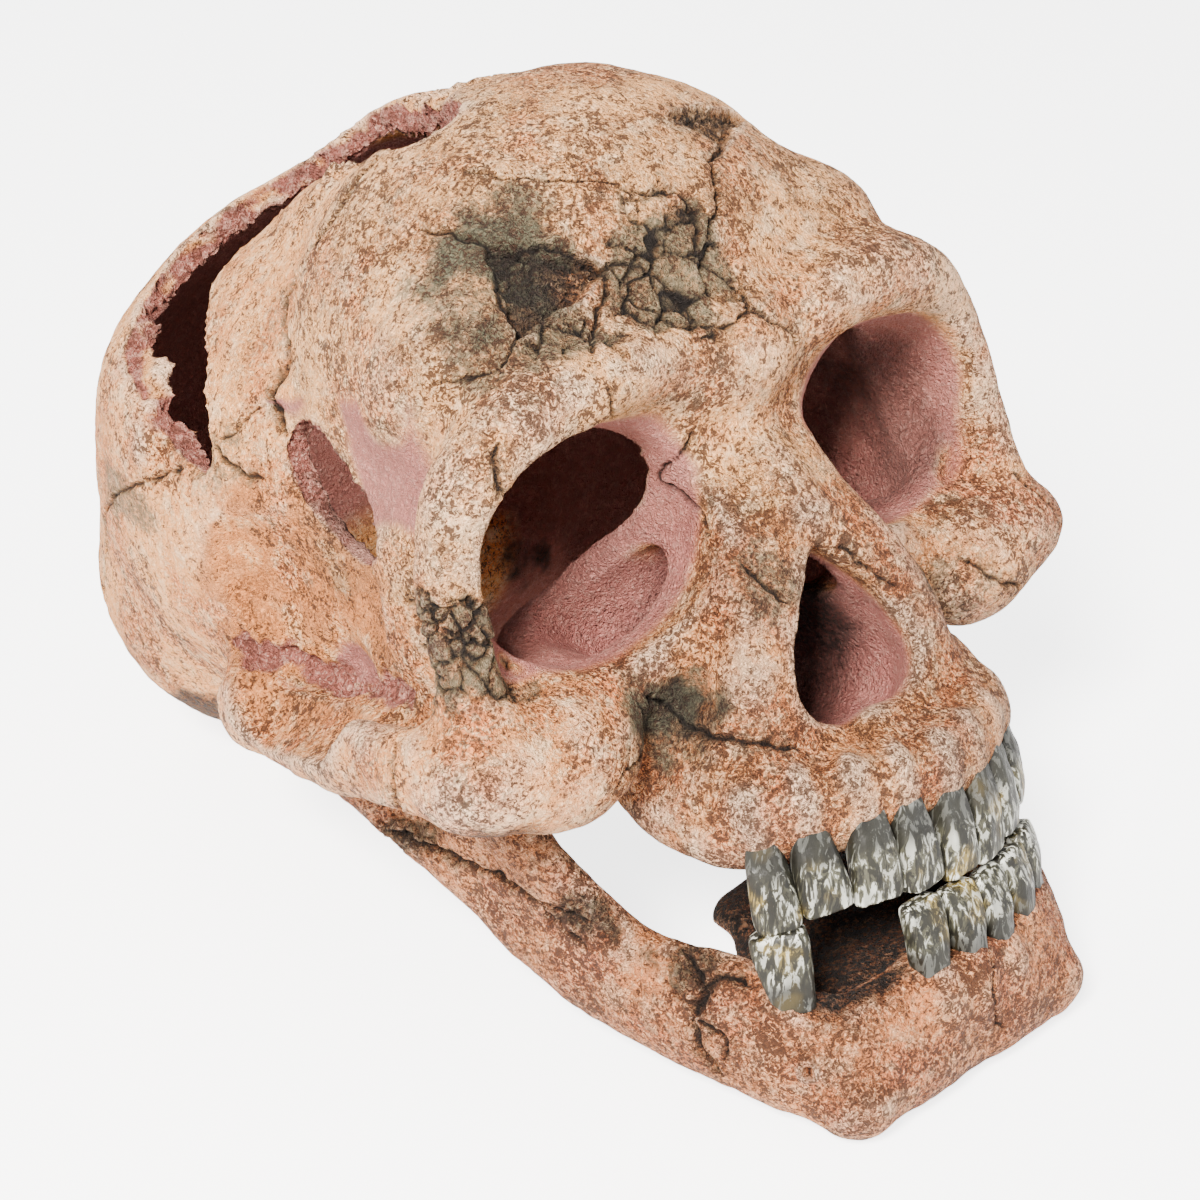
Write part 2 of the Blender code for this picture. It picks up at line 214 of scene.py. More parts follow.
class Clay:
    """Rounded masses pressed together, gathered before they are melted into one skin."""

    def __init__(self) -> None:
        """Starts with nothing."""
        self.points: list[np.ndarray] = []
        self.faces: list[tuple[int, ...]] = []
        self.count = 0

    def add(self, points: np.ndarray, faces: Iterable[Sequence[int]]) -> None:
        """Adds a closed form."""
        self.points.append(points)
        self.faces.extend(tuple(self.count + i for i in face) for face in faces)
        self.count += len(points)

    def ball(self, centre: Point, radii: Point, segments: int = 28, rings: int = 18) -> None:
        """Adds an ellipsoid."""
        turn = np.arange(segments) * 2 * math.pi / segments
        points = [(0.0, 0.0, 1.0)]
        for i in range(1, rings):
            dip = math.pi * i / rings
            wide, high = math.sin(dip), math.cos(dip)
            points += [(wide * math.cos(a), wide * math.sin(a), high) for a in turn]
        points.append((0.0, 0.0, -1.0))
        last = len(points) - 1
        faces: list[tuple[int, ...]] = []
        for j in range(segments):
            k = (j + 1) % segments
            faces.append((0, 1 + j, 1 + k))
            for i in range(rings - 2):
                a = 1 + i * segments
                faces.append((a + j, a + segments + j, a + segments + k, a + k))
            a = 1 + (rings - 2) * segments
            faces.append((a + j, last, a + k))
        self.add(np.array(points) * radii + centre, faces)

    def roll(self, stations: Sequence[Station], steps: int = 4, side: int = 1) -> None:
        """Adds a bent roll of overlapping ellipsoids; side -1 puts it on the skull's right."""
        for x, y, z, rx, ry, rz in smooth_path(stations, steps):
            self.ball((side * x, y, z), (rx, ry, rz), 16, 10)

    def raw(self, name: str) -> bpy.types.Object:
        """Makes the object as it is, its forms still apart."""
        mesh = bpy.data.meshes.new(name)
        mesh.from_pydata(np.vstack(self.points).tolist(), [], self.faces)
        return linked(name, mesh)

    def melted(self, name: str, rounds: int, voxel: float = 2.0) -> bpy.types.Object:
        """Makes the object as one skin, softened over some rounds."""
        obj = self.raw(name)
        fuse(obj, rounds, voxel)
        return obj


def apply_all(obj: bpy.types.Object) -> None:
    """Applies the modifiers of an object."""
    graph = bpy.context.evaluated_depsgraph_get()
    made = bpy.data.meshes.new_from_object(obj.evaluated_get(graph))
    old = obj.data
    obj.modifiers.clear()
    obj.data = made
    bpy.data.meshes.remove(old)


def fuse(obj: bpy.types.Object, rounds: int, voxel: float = 2.0) -> None:
    """Melts overlapping masses into one skin and softens it.

    Args:
        obj: The object, changed in place.
        rounds: How many times the skin is softened.
        voxel: Grid size of the new skin, in millimetres.
    """
    remesh = obj.modifiers.new("fuse", "REMESH")
    remesh.mode = "VOXEL"
    remesh.voxel_size = voxel
    soften = obj.modifiers.new("soften", "SMOOTH")
    soften.factor = 0.5
    soften.iterations = rounds
    apply_all(obj)


def cut(obj: bpy.types.Object, tool: bpy.types.Object) -> None:
    """Takes a closed tool away from a closed skin, and removes the tool."""
    modifier = obj.modifiers.new("cut", "BOOLEAN")
    modifier.operation = "DIFFERENCE"
    modifier.object = tool
    modifier.solver = "MANIFOLD"
    apply_all(obj)
    bpy.data.objects.remove(tool)


def drop_crumbs(obj: bpy.types.Object) -> None:
    """Keeps the one body of an object that has the most faces."""
    bm = bmesh.new()
    bm.from_mesh(obj.data)
    seen: set[bmesh.types.BMFace] = set()
    groups: list[list[bmesh.types.BMFace]] = []
    for start in bm.faces:
        if start in seen:
            continue
        seen.add(start)
        group = [start]
        for face in group:
            for edge in face.edges:
                for other in edge.link_faces:
                    if other not in seen:
                        seen.add(other)
                        group.append(other)
        groups.append(group)
    groups.sort(key=len)
    crumbs = [face for group in groups[:-1] for face in group]
    bmesh.ops.delete(bm, geom=crumbs, context="FACES")
    bm.to_mesh(obj.data)
    bm.free()


def numbers(items: object, name: str, width: int = 1) -> np.ndarray:
    """Reads one value of every item of a mesh into rows of numbers."""
    out = np.empty(len(items) * width)
    items.foreach_get(name, out)
    return out.reshape(-1, width) if width > 1 else out


def moved_skin(obj: bpy.types.Object, name: str, distance: float) -> bpy.types.Object:
    """A copy of a closed skin, moved along its normals by a distance in millimetres."""
    mesh = obj.data.copy()
    places = numbers(mesh.vertices, "co", 3) + numbers(mesh.vertex_normals, "vector", 3) * distance
    mesh.vertices.foreach_set("co", places.ravel())
    return linked(name, mesh)


def tree_of(obj: bpy.types.Object) -> BVHTree:
    """A search tree over the faces of an object."""
    points = [v.co for v in obj.data.vertices]
    return BVHTree.FromPolygons(points, [tuple(p.vertices) for p in obj.data.polygons])


def distance_to(tree: BVHTree, points: np.ndarray, reach: float, wanted: np.ndarray) -> np.ndarray:
    """How far each wanted point is from a surface, up to a reach, which the others are given."""
    out = np.full(len(points), reach)
    for i in np.flatnonzero(wanted):
        found = tree.find_nearest(points[i], reach)
        if found[3] is not None:
            out[i] = found[3]
    return out


@dataclass(frozen=True)
class Crack:
    """A crack drawn on a skin by points, in the skull's frame.

    The points lie near the skin, and the line is laid onto it.
    """

    points: tuple[Point, ...]
    width: float = 0.55
    depth: float = 1.0
    wander: float = 0.9
    torn: bool = False

    def laid(self, tree: BVHTree, seed: int) -> np.ndarray:
        """Lays the crack onto a skin.

        Args:
            tree: Search tree of the skin.
            seed: Picks how the line wanders.

        Returns:
            Rows of x, y, z, width, depth and 1 where the crack is torn, a quarter of a millimetre apart.
        """
        path = smooth_path(self.points, 4)
        steps = np.linalg.norm(np.diff(path, axis=0), axis=1)
        along = np.concatenate([[0], np.cumsum(steps)])
        count = max(4, int(along[-1] / 0.25))
        t = np.linspace(0, along[-1], count)
        line = np.stack([np.interp(t, along, path[:, i]) for i in range(3)], 1)
        sway = [grain(line + 40 * i, 4.5, seed) + 0.45 * grain(line, 1.6, seed + i) for i in range(3)]
        line = line + np.stack(sway, 1) * self.wander
        line = np.array([tree.find_nearest(Vector(p))[0] for p in line])
        ends = np.minimum(1, np.minimum(t, along[-1] - t) / 3 + 0.25)
        swell = ends * (1 + 0.45 * grain(line, 2.5, seed + 5))
        torn = np.full(count, float(self.torn))
        return np.column_stack([line, self.width * swell, self.depth * swell, torn])


@dataclass(frozen=True)
class Patch:
    """A rounded area of a skin with a rough border."""

    centre: Point
    radii: Point
    ragged: float = 0.55

    def over(self, points: np.ndarray, soft: float = 0.3) -> np.ndarray:
        """How much each point lies in the patch, from 0 to 1."""
        away = np.linalg.norm((points - self.centre) / self.radii, axis=1)
        close = away < 1 + soft + 1.8 * self.ragged
        away[close] += self.ragged * layered(points[close], max(self.radii) * 0.6, 4, 3)
        return 1 - fade(away, 1 - soft, 1 + soft)


@dataclass(frozen=True)
class Chip:
    """A sunken three-cornered place where a flake has come off."""

    corners: tuple[Point, Point, Point]
    depth: float = 2.6
    reach: float = 7.0

    def over(self, points: np.ndarray, soft: float = 0.45) -> np.ndarray:
        """How much each point lies within the three corners, from 0 to 1."""
        a, b, c = np.array(self.corners, float)
        upright = np.cross(b - a, c - a)
        upright /= np.linalg.norm(upright)
        within = np.full(len(points), 99.0)
        for start, end in ((a, b), (b, c), (c, a)):
            inward = np.cross(upright, end - start)
            inward /= np.linalg.norm(inward)
            within = np.minimum(within, (points - start) @ inward)
        near = np.abs((points - a) @ upright) < self.reach
        close = near & (within > -3)
        within[close] += 0.9 * layered(points[close], 4.0, 2, 61)
        return fade(within + 0.8, -soft, soft) * near


@dataclass(frozen=True)
class Opening:
    """A hole in the face, an ellipse from the front, whose inner walls have a paint of their own."""

    centre: tuple[float, float]
    radii: tuple[float, float]
    front: float
    slant: float = 0.0
    climb: float = 0.0
    reach: float = 1.12

    def walls(self, skin: "Skin") -> np.ndarray:
        """How much each vertex belongs to the walls, from 0 to 1.

        Args:
            skin: The skin with the hole.

        Returns:
            One number for each vertex; the front of the walls moves with the slant and the climb.
        """
        x, y, z = skin.places.T
        side = math.copysign(1, self.centre[0]) if self.centre[0] else 1.0
        u = (x - self.centre[0]) * side / self.radii[0]
        v = (z - self.centre[1]) / self.radii[1]
        out = np.stack([u * side / self.radii[0], v / self.radii[1]], 1)
        out /= np.maximum(np.linalg.norm(out, axis=1), 1e-9)[:, None]
        facing = -(skin.normals[:, 0] * out[:, 0] + skin.normals[:, 2] * out[:, 1])
        within = 1 - fade(np.hypot(u, v), self.reach, self.reach + 0.08)
        limit = self.front + self.slant * u + self.climb * v
        return within * fade(y, limit - 0.8, limit + 0.8) * fade(facing, 0.3, 0.55)


def refine(obj: bpy.types.Object, near: Callable[[np.ndarray], np.ndarray], rounds: int) -> None:
    """Splits the faces near some feature into smaller ones.

    Args:
        obj: The object, changed in place.
        near: Says for rows of x, y, z which ones are near the feature.
        rounds: How many times the faces are halved.
    """
    bm = bmesh.new()
    bm.from_mesh(obj.data)
    for _ in range(rounds):
        bm.verts.ensure_lookup_table()
        wanted = near(np.array([v.co for v in bm.verts]))
        edges = [e for e in bm.edges if wanted[e.verts[0].index] or wanted[e.verts[1].index]]
        bmesh.ops.subdivide_edges(bm, edges=edges, cuts=1, use_grid_fill=True)
    bmesh.ops.triangulate(bm, faces=[f for f in bm.faces if len(f.verts) > 4])
    bm.to_mesh(obj.data)
    bm.free()


class Skin:
    """The vertices of a finished skin, with their marks, while detail is pressed into them."""

    def __init__(self, obj: bpy.types.Object) -> None:
        """Reads the places, normals and edges of an object and starts with no marks."""
        self.obj = obj
        mesh = obj.data
        self.places = numbers(mesh.vertices, "co", 3)
        self.normals = numbers(mesh.vertex_normals, "vector", 3)
        self.edges = numbers(mesh.edges, "vertices", 2).astype(int)
        self.marks = {mark: np.zeros(len(self.places)) for mark in Mark}

    def softened(self, values: np.ndarray, rounds: int) -> np.ndarray:
        """Averages values with those of the neighbouring vertices, over some rounds."""
        a, b = self.edges.T
        size = len(self.places)
        number = np.bincount(a, minlength=size) + np.bincount(b, minlength=size)
        number = np.maximum(number, 1)
        rows = values.reshape(size, -1)
        for _ in range(rounds):
            total = np.empty_like(rows)
            for i in range(rows.shape[1]):
                total[:, i] = np.bincount(a, rows[b, i], size) + np.bincount(b, rows[a, i], size)
            rows = 0.4 * rows + 0.6 * total / number[:, None]
        return rows.reshape(values.shape)

    def add(self, mark: Mark, values: np.ndarray) -> None:
        """Raises a mark to at least the given values."""
        self.marks[mark] = np.maximum(self.marks[mark], values)

    def push(self, distance: np.ndarray) -> None:
        """Moves every vertex along its normal, out or in."""
        self.places = self.places + self.normals * distance[:, None]

    def write(self) -> None:
        """Writes places and marks back to the mesh."""
        mesh = self.obj.data
        mesh.vertices.foreach_set("co", self.places.ravel())
        mesh.update()
        for mark, values in self.marks.items():
            layer = mesh.attributes.new(mark.value, "FLOAT", "POINT")
            layer.data.foreach_set("value", np.clip(values, 0, 1))


@dataclass
class Cranium:
    """The hollow head above the lower jaw: braincase, face, upper jaw and its openings."""

    wall: float = 6.0
    voxel: float = 1.25
    vault: Point = (0, 10, 24)
    vault_radii: Point = (63, 79, 58)
    coronal_y: float = -27.0
    coronal_tilt: float = -0.15
    brow_z: float = 13.0
    cheek_x: float = 37.0
    cheek_tilt: float = -0.32
    socket_left: float = 18.5
    socket_right: float = 20.0
    gap: tuple[Station, ...] = (
        (-21, -46, 88, 6, 6, 10),
        (-17, -30, 87, 8, 6, 12),
        (-12, -12, 86, 9, 7, 12),
        (-15, 6, 80, 9, 8, 12),
        (-28, 15, 73, 7, 7, 12),
        (-40, 17, 67, 8, 7, 10),
        (-48, 12, 61, 10, 7, 7),
        (-53, 5, 54, 10, 6, 5),
        (-56, 1, 47, 10, 5, 4),
        (-58, -4, 40, 8, 3, 3),
    )
    slot: tuple[Station, ...] = (
        (-51, -31, 39, 12, 6, 4),
        (-50, -36, 31, 12, 8.5, 4),
        (-49, -42.5, 23, 12, 9, 4.5),
    )
    lift: float = 3.2
    necks: tuple[Point, ...] = ()
    breaks_tree: BVHTree | None = field(default=None, repr=False)

    def braincase(self) -> Clay:
        """The rounded vault, low and long, with a steep forehead."""
        clay = Clay()
        clay.ball(self.vault, self.vault_radii)
        clay.ball((0, -44, 45), (54, 46, 48))
        clay.ball((0, -18, 46), (44, 54, 44))
        clay.ball((0, 46, 7), (57, 47, 43))
        clay.ball((0, -5, -4), (50, 60, 20))
        for side in SIDES:
            clay.ball((side * 28, 20, 34), (34, 40, 36))
            clay.ball((side * 34, -62, 46), (24, 24, 22))
            clay.ball((side * 47, -54, 8), (13, 26, 26))
        return clay

    def temples(self) -> Clay:
        """What is scooped from each side: behind the eye socket and behind the ear."""
        clay = Clay()
        for side in SIDES:
            clay.ball((side * 75, -24, 8), (22, 30, 30))
            clay.ball((side * 63, 16, -15), (13, 10, 9))
        return clay

    def face(self) -> Clay:
        """Brows, eye rims, cheekbones and their arches, nose, and the arch of the upper jaw."""
        clay = Clay()
        clay.ball((0, -80, 40), (20, 14, 14))
        brow = [(8, -83, 39, 8, 8, 8), (26, -86, 43, 8, 9, 8), (44, -84, 41, 8, 9, 8)]
        brow += [(56, -79, 31, 8, 8, 7), (62, -77, 18, 6, 7, 7)]
        outer_rim = [(62, -77, 18, 6, 7, 7), (63, -77, 5, 6, 7, 7), (63, -77, -7, 8, 8, 7)]
        lower_rim = [(58, -76, -8.5, 7, 7, 7), (44, -76, -9.5, 7, 7, 7), (30, -78, -6.5, 7, 7, 7)]
        lower_rim += [(18, -81, 3, 7, 7, 7), (12, -80, 16, 6, 7, 7)]
        nose_side = [(9, -79, 24, 5, 6, 6), (12, -88, 6, 6, 7, 7), (18, -92, -10, 7, 7, 7)]
        nose_side += [(20, -92, -26, 8, 8, 8)]
        nose_edge = [(3, -90, 9, 6, 6, 6), (8, -92, 0, 6, 6, 6), (13, -93, -9, 6, 6, 7)]
        nose_edge += [(15, -93, -18, 6, 7, 7), (12, -95, -27, 6, 6, 5)]
        arch = [(70, -72, -11, 6, 8, 9), (70, -48, -10.5, 5, 8, 8.5), (65, -22, -10, 5, 8, 9)]
        arch += [(60, 2, -8, 6, 8, 9)]
        gums = [(27, -67, -28, 7, 8, 7), (30.5, -79, -32.5, 7, 8, 7.5), (28, -91, -36.5, 7, 7, 7.5)]
        gums += [(14, -100, -38, 7, 7, 8), (0, -102, -38, 7, 7, 8)]
        for side in SIDES:
            for stations in (brow, outer_rim, lower_rim, nose_side, nose_edge, gums):
                clay.roll(stations, 4, side)
            clay.roll(arch, 5, side)
            clay.ball((side * 62, -76, -13.5), (15, 12.5, 11))
            clay.ball((side * 50, -79, -15.5), (16, 10.5, 12.5))
            clay.ball((side * 56, -30, -12), (14, 34, 7))
            clay.ball((side * 38, -58, -14), (15, 20, 12))
            clay.ball((side * 23, -88, -32), (12, 12, 14))
        clay.roll([(0, -76, 30, 8, 7, 7), (0, -84, 20, 8, 7, 7), (0, -91, 9, 8, 7, 6)], 5)
        clay.ball((0, -70, -22), (34, 28, 16))
        clay.ball((0, -96, -32), (16, 8, 10))
        for x, y, z in self.necks:
            clay.ball((x, y, z + 7), (4.3, 4.1, 8.6), 16, 12)
        return clay

    def fossa(self, side: int) -> Clay:
        """A last shallow scoop that leaves the edge of the temple crisp."""
        clay = Clay()
        stations = [(72, -14, 12, 19.4, 18, 25), (72, -26, 14, 19.8, 18, 26)]
        stations += [(72, -37, 15, 19.8, 18.5, 26)]
        clay.roll(stations, 4, side)
        return clay

    def socket(self, side: int) -> Clay:
        """What the eye socket takes away: a funnel that narrows as it goes back to the hollow."""
        clay = Clay()
        tall = self.socket_left if side > 0 else self.socket_right
        stations = [(40, -125, 16, 23, 14, tall), (38, -95, 16, 22.5, 14, tall)]
        stations += [(36, -80, 16, 22.5, 12, tall)]
        if side > 0:
            stations += [(31, -62, 15, 20, 10, 18), (27, -44, 17, 16, 8, 15)]
        else:
            stations += [(37, -62, 15, 16.5, 10, 16.5), (36, -44, 16, 12, 8, 12), (34, -34, 18, 10, 8, 10)]
        clay.roll(stations, 5, side)
        return clay

    def nose(self) -> Clay:
        """What the nose opening takes away: a pear shape, drawn inward."""
        half = [(0, 4), (6.5, -3), (11, -10), (13.5, -17), (12, -22.5), (6, -25), (0, -24)]
        outline = half + [(-x, z) for x, z in reversed(half[1:-1])]
        size = len(outline)
        points = []
        for y, spread, drop in ((-125, 1, 0), (-97, 1, 0), (-89, 1.25, 0), (-45, 1.15, 2)):
            points += [(x * spread, y, z * spread - drop) for x, z in outline]
        faces: list[tuple[int, ...]] = [tuple(range(size)), tuple(reversed(range(3 * size, 4 * size)))]
        for ring in range(3):
            for i in range(size):
                j = (i + 1) % size
                a = ring * size
                faces.append((a + j, a + i, a + size + i, a + size + j))
        clay = Clay()
        clay.add(np.array(points, float), faces)
        return clay

    def breaks(self) -> Clay:
        """What the long break over the crown takes away, and the slot in the right temple."""
        clay = Clay()
        clay.roll(self.gap, 6)
        clay.roll(self.slot, 5)
        return clay

    def beyond(self, off: np.ndarray) -> np.ndarray:
        """How far offsets from the middle of the break over the crown lie to its far side."""
        return off[:, 1] + 0.35 * off[:, 0]

    def rough_breaks(self) -> bpy.types.Object:
        """The tool that cuts the breaks: clean on its near side, crumbly on its far side."""
        tool = self.breaks().melted("breaks", 1, 0.9)
        skin = Skin(tool)
        middle = smooth_path(self.gap, 8)[:, :3]
        tree = KDTree(len(middle))
        for i, point in enumerate(middle):
            tree.insert(point, i)
        tree.balance()
        nearest = np.array([tree.find(p)[1] for p in skin.places])
        off = skin.places - middle[nearest]
        far = fade(self.beyond(off), -1.0, 2.5)
        border, tone = chunks(skin.places, 4.4, 11)
        lumps = (tone - 0.55) * 4.2 - 1.2 * (1 - fade(border, 0, 0.5))
        fine = layered(skin.places, 2.4, 2, 12) * 0.5
        skin.push(far * (lumps + fine) + (1 - far) * 0.25 * layered(skin.places, 5, 2, 13))
        skin.write()
        fuse(tool, 0, 0.9)
        return tool

    def cast(self) -> bpy.types.Object:
        """Builds the skin with its openings and breaks, before any fine detail."""
        skin = self.braincase().melted("cranium", 50)
        cut(skin, self.temples().melted("temples", 2))
        fuse(skin, 12)
        hollow = moved_skin(skin, "hollow", -self.wall)
        fuse(hollow, 6)
        face = self.face().raw("face")
        clay = Clay()
        for obj in (skin, face):
            clay.add(numbers(obj.data.vertices, "co", 3), [tuple(p.vertices) for p in obj.data.polygons])
            bpy.data.objects.remove(obj)
        skin = clay.melted("cranium", 6)
        cut(skin, hollow)
        for side in SIDES:
            cut(skin, self.socket(side).melted("socket", 3))
        nose = self.nose().raw("nose")
        fuse(nose, 0, 1.0)
        cut(skin, nose)
        clay = Clay()
        clay.ball((0, 8, -26), (19, 22, 26))
        cut(skin, clay.raw("base"))
        fuse(skin, 4, 1.3)
        for side in SIDES:
            cut(skin, self.fossa(side).melted("fossa", 1))
        breaks = self.rough_breaks()
        self.breaks_tree = tree_of(breaks)
        cut(skin, breaks)
        fuse(skin, 1, self.voxel)
        self.lift_far_side(skin)
        drop_crumbs(skin)
        return skin

    def lift_far_side(self, obj: bpy.types.Object) -> None:
        """Raises the shell behind the break over the crown and sinks it before, so that its wall shows."""
        skin = Skin(obj)
        middle = smooth_path(self.gap[1:8], 8)[:, :3]
        away = np.full(len(skin.places), 99.0)
        beyond = np.zeros(len(skin.places))
        for point in middle:
            off = skin.places - point
            distance = np.linalg.norm(off, axis=1)
            beyond = np.where(distance < away, self.beyond(off), beyond)
            away = np.minimum(away, distance)
        out = (skin.places - self.vault) / np.square(self.vault_radii)
        out /= np.linalg.norm(out, axis=1)[:, None]
        amount = self.lift * fade(beyond, -1, 3) * (1 - fade(away, 10, 34)) * (skin.places[:, 2] > 0)
        amount -= 1.2 * fade(-beyond, 0, 3) * (1 - fade(away, 8, 16)) * (skin.places[:, 2] > 0)
        skin.places = skin.places + out * amount[:, None]
        obj.data.vertices.foreach_set("co", skin.places.ravel())
        obj.data.update()

    def node_at(self, x: float, y: float, z: float) -> Node:
        """Which CAD node a place belongs to."""
        if y > self.coronal_y + self.coronal_tilt * (z - 42):
            return Node.BACK_OF_HEAD
        if z > self.brow_z:
            return Node.FOREHEAD
        if abs(x) > self.cheek_x + self.cheek_tilt * (z + 5):
            return Node.CHEEKBONE_LEFT if x > 0 else Node.CHEEKBONE_RIGHT
        return Node.UPPER_JAW


CRANIUM_CRACKS = (
    Crack(((-28, -42, 84.5), (-33, -40, 82), (-38, -38, 77), (-41, -34, 73.5), (-41.5, -28, 69),
           (-42.5, -21, 64), (-46.5, -24, 58), (-48.5, -26, 54), (-51, -21, 48), (-52, -25.5, 42)), 1.1, 1.6),
    Crack(((-57, -8, 42), (-57.4, -13.8, 37), (-56, -20, 35)), 0.7, 1.2),
    Crack(((-57, -8, 42), (-54.5, -15, 44.5), (-51, -21, 48)), 0.35, 0.6),
    Crack(((-38.9, -60.7, 72.3), (-37.4, -65, 70.8), (-35.5, -70, 68.6), (-34.5, -73.3, 66.4)), 0.6, 1.0),
    Crack(((-34.5, -73.3, 66.4), (-28, -78, 65), (-20.5, -83.6, 59)), 0.7, 1.3),
    Crack(((-20.5, -83.6, 59), (-14.6, -85.5, 58), (-10.7, -88.4, 50.5), (-9.8, -90.7, 46)), 0.6, 1.0),
    Crack(((-20.5, -83.6, 59), (-23, -85, 54), (-29.7, -87.6, 50.8), (-36.5, -87.7, 50.2)), 0.6, 1.0),
    Crack(((-34.5, -73.3, 66.4), (-39.2, -79, 59), (-39.4, -82.4, 53.8)), 0.7, 1.2),
    Crack(((-39.4, -82.4, 53.8), (-44.2, -83, 50.2), (-48.2, -81, 49), (-52.8, -73.4, 49)), 0.4, 0.7),
    Crack(((-29, -62, 79), (-24, -70, 76), (-17, -76, 73), (-9.8, -81.7, 69.5), (-13, -85, 61.5)), 0.3, 0.5),
    Crack(((-13, -85, 61.5), (-20, -85.2, 55)), 0.5, 0.9),
    Crack(((-9.8, -81.7, 69.5), (-0.3, -84.7, 65), (-3, -87.4, 57), (2, -91, 49), (-3, -92.7, 44)),
          0.55, 0.9),
    Crack(((-3, -92.7, 44), (-12.6, -89.4, 47.6), (-20, -86, 54)), 0.5, 0.9),
    Crack(((9.2, -74, 79.2), (20, -72, 77), (30, -68, 74.6)), 0.5, 0.8),
    Crack(((9.2, -74, 79.2), (15, -78.6, 72), (9.4, -81.4, 70), (6.6, -84.3, 65.2), (2, -86, 60)), 0.6, 1.0),
    Crack(((-0.7, -90.5, 48.5), (2, -92.5, 44.7), (7.8, -92.4, 40), (10, -92, 36)), 0.5, 0.9),
    Crack(((-34, -93.7, 42.7), (-33, -93, 37), (-30, -88, 34)), 0.5, 0.9),
    Crack(((-12, -88, 28), (-14, -77, 22.5), (-14, -82, 17), (-13, -88, 10)), 0.5, 0.9),
    Crack(((-52.7, -88.6, 39.4), (-54.8, -87.5, 36), (-52.4, -85.2, 29)), 0.6, 1.0),
    Crack(((-58.5, -57, 14), (-65.6, -77.7, 14), (-62.4, -80, 16), (-56, -80, 14)), 0.45, 0.8),
    Crack(((-65.6, -77.7, 14), (-62.5, -79.8, 9.5), (-58, -78, 3), (-53, -76.6, -1.3)), 0.45, 0.8),
    Crack(((-59, -58, 5.5), (-64, -72, 6), (-66.4, -78.5, 4)), 0.45, 0.8),
    Crack(((-72.8, -67.5, -4.5), (-75, -66.3, -9), (-75.3, -66, -13), (-74, -63, -18)), 0.5, 0.9),
    Crack(((-58.9, 0, 38.4), (-60.8, 11, 37), (-60.9, 24, 34.4), (-59.9, 30, 33), (-55.5, 46, 25),
           (-53, 57, 14.7), (-50, 64, 4)), 0.5, 0.9),
    Crack(((-34.3, -82.6, -9.4), (-31.7, -82.2, -13), (-28.4, -84, -17), (-28, -90, -19.4),
           (-25.4, -96.5, -21), (-18.3, -99.8, -25.5)), 0.6, 1.1),
    Crack(((-36, -82, -10.6), (-35.4, -79.3, -18), (-44, -86.3, -18.8), (-48, -87.6, -21.4)), 0.5, 0.9),
    Crack(((63, -82, -2), (65.5, -85, -6.8), (69, -85.8, -10.8), (70.5, -85, -16), (68.6, -84.5, -21.7)),
          0.55, 1.0),
    Crack(((41.3, -83.5, -12.4), (44.3, -86.2, -15.3), (50.3, -88, -20.3), (56, -88, -24)), 0.45, 0.8),
    Crack(((-15.3, -93, 7), (-13.5, -95.8, 3), (-11, -97.7, -2.2)), 0.6, 1.0),
    Crack(((2.8, -94.7, 4), (10.6, -97.3, -4.5), (13, -97.5, -8)), 0.5, 0.8),
    Crack(((30, 40, 66), (22, 20, 79), (28, 2, 80), (21, -20, 87), (26, -38, 85)), 0.45, 0.8),
    Crack(((28, 2, 80), (41, 0, 71), (50, 8, 60), (55, 6, 48), (59, 14, 40)), 0.45, 0.8),
    Crack(((-10, 84, 40), (2, 88, 24), (-4, 91, 10), (6, 90, -6), (2, 82, -22)), 0.5, 0.8),
    Crack(((2, 88, 24), (18, 85, 26), (30, 78, 24), (42, 66, 22)), 0.4, 0.7),
    Crack(((56, -40, 40), (55, -44, 30), (57, -52, 22), (60, -64, 18)), 0.45, 0.8),
    Crack(((-58.5, -52, -2), (-57, -42, -3), (-54, -31, -3.4), (-53, -17, -2.5), (-55, -9, 0), (-58, -4, 2.5),
           (-60, 3, 4)), 2.6, 2.4, 1.3, True),
    Crack(((58.5, -52, -2), (57, -42, -3), (54, -31, -3.4), (53, -17, -2.5), (55, -9, 0), (58, -4, 2.5)),
          2.2, 2.0, 1.3, True),
)

STAINS = (
    (Patch((-34, -76, 62), (15, 16, 14)), 1.0),
    (Patch((-42, -80, 52), (12, 14, 10)), 0.8),
    (Patch((-10, -87, 56), (13, 10, 14)), 0.55),
    (Patch((-57, -6, 40), (5, 10, 8)), 0.7),
    (Patch((-60, 22, 34), (10, 14, 7)), 0.8),
    (Patch((-44, -22, 62), (5, 8, 14)), 0.45),
    (Patch((-53, -60, 38), (10, 12, 12)), 0.5),
    (Patch((-60, -76, 10), (9, 14, 9)), 0.8),
    (Patch((-32, -84, -15), (10, 10, 8)), 1.0),
    (Patch((-13, -96, 2), (6, 8, 8)), 0.8),
    (Patch((24, -92, -8), (8, 8, 7)), 0.8),
    (Patch((40, -82, -18), (9, 8, 8)), 0.7),
    (Patch((66, -84, -12), (5, 8, 12)), 0.4),
    (Patch((30, 50, 56), (18, 16, 18)), 0.5),
    (Patch((10, 86, 10), (16, 12, 20)), 0.5),
    (Patch((54, -8, 34), (12, 18, 14)), 0.5),
    (Patch((56, 30, 20), (12, 14, 14)), 0.4),
)
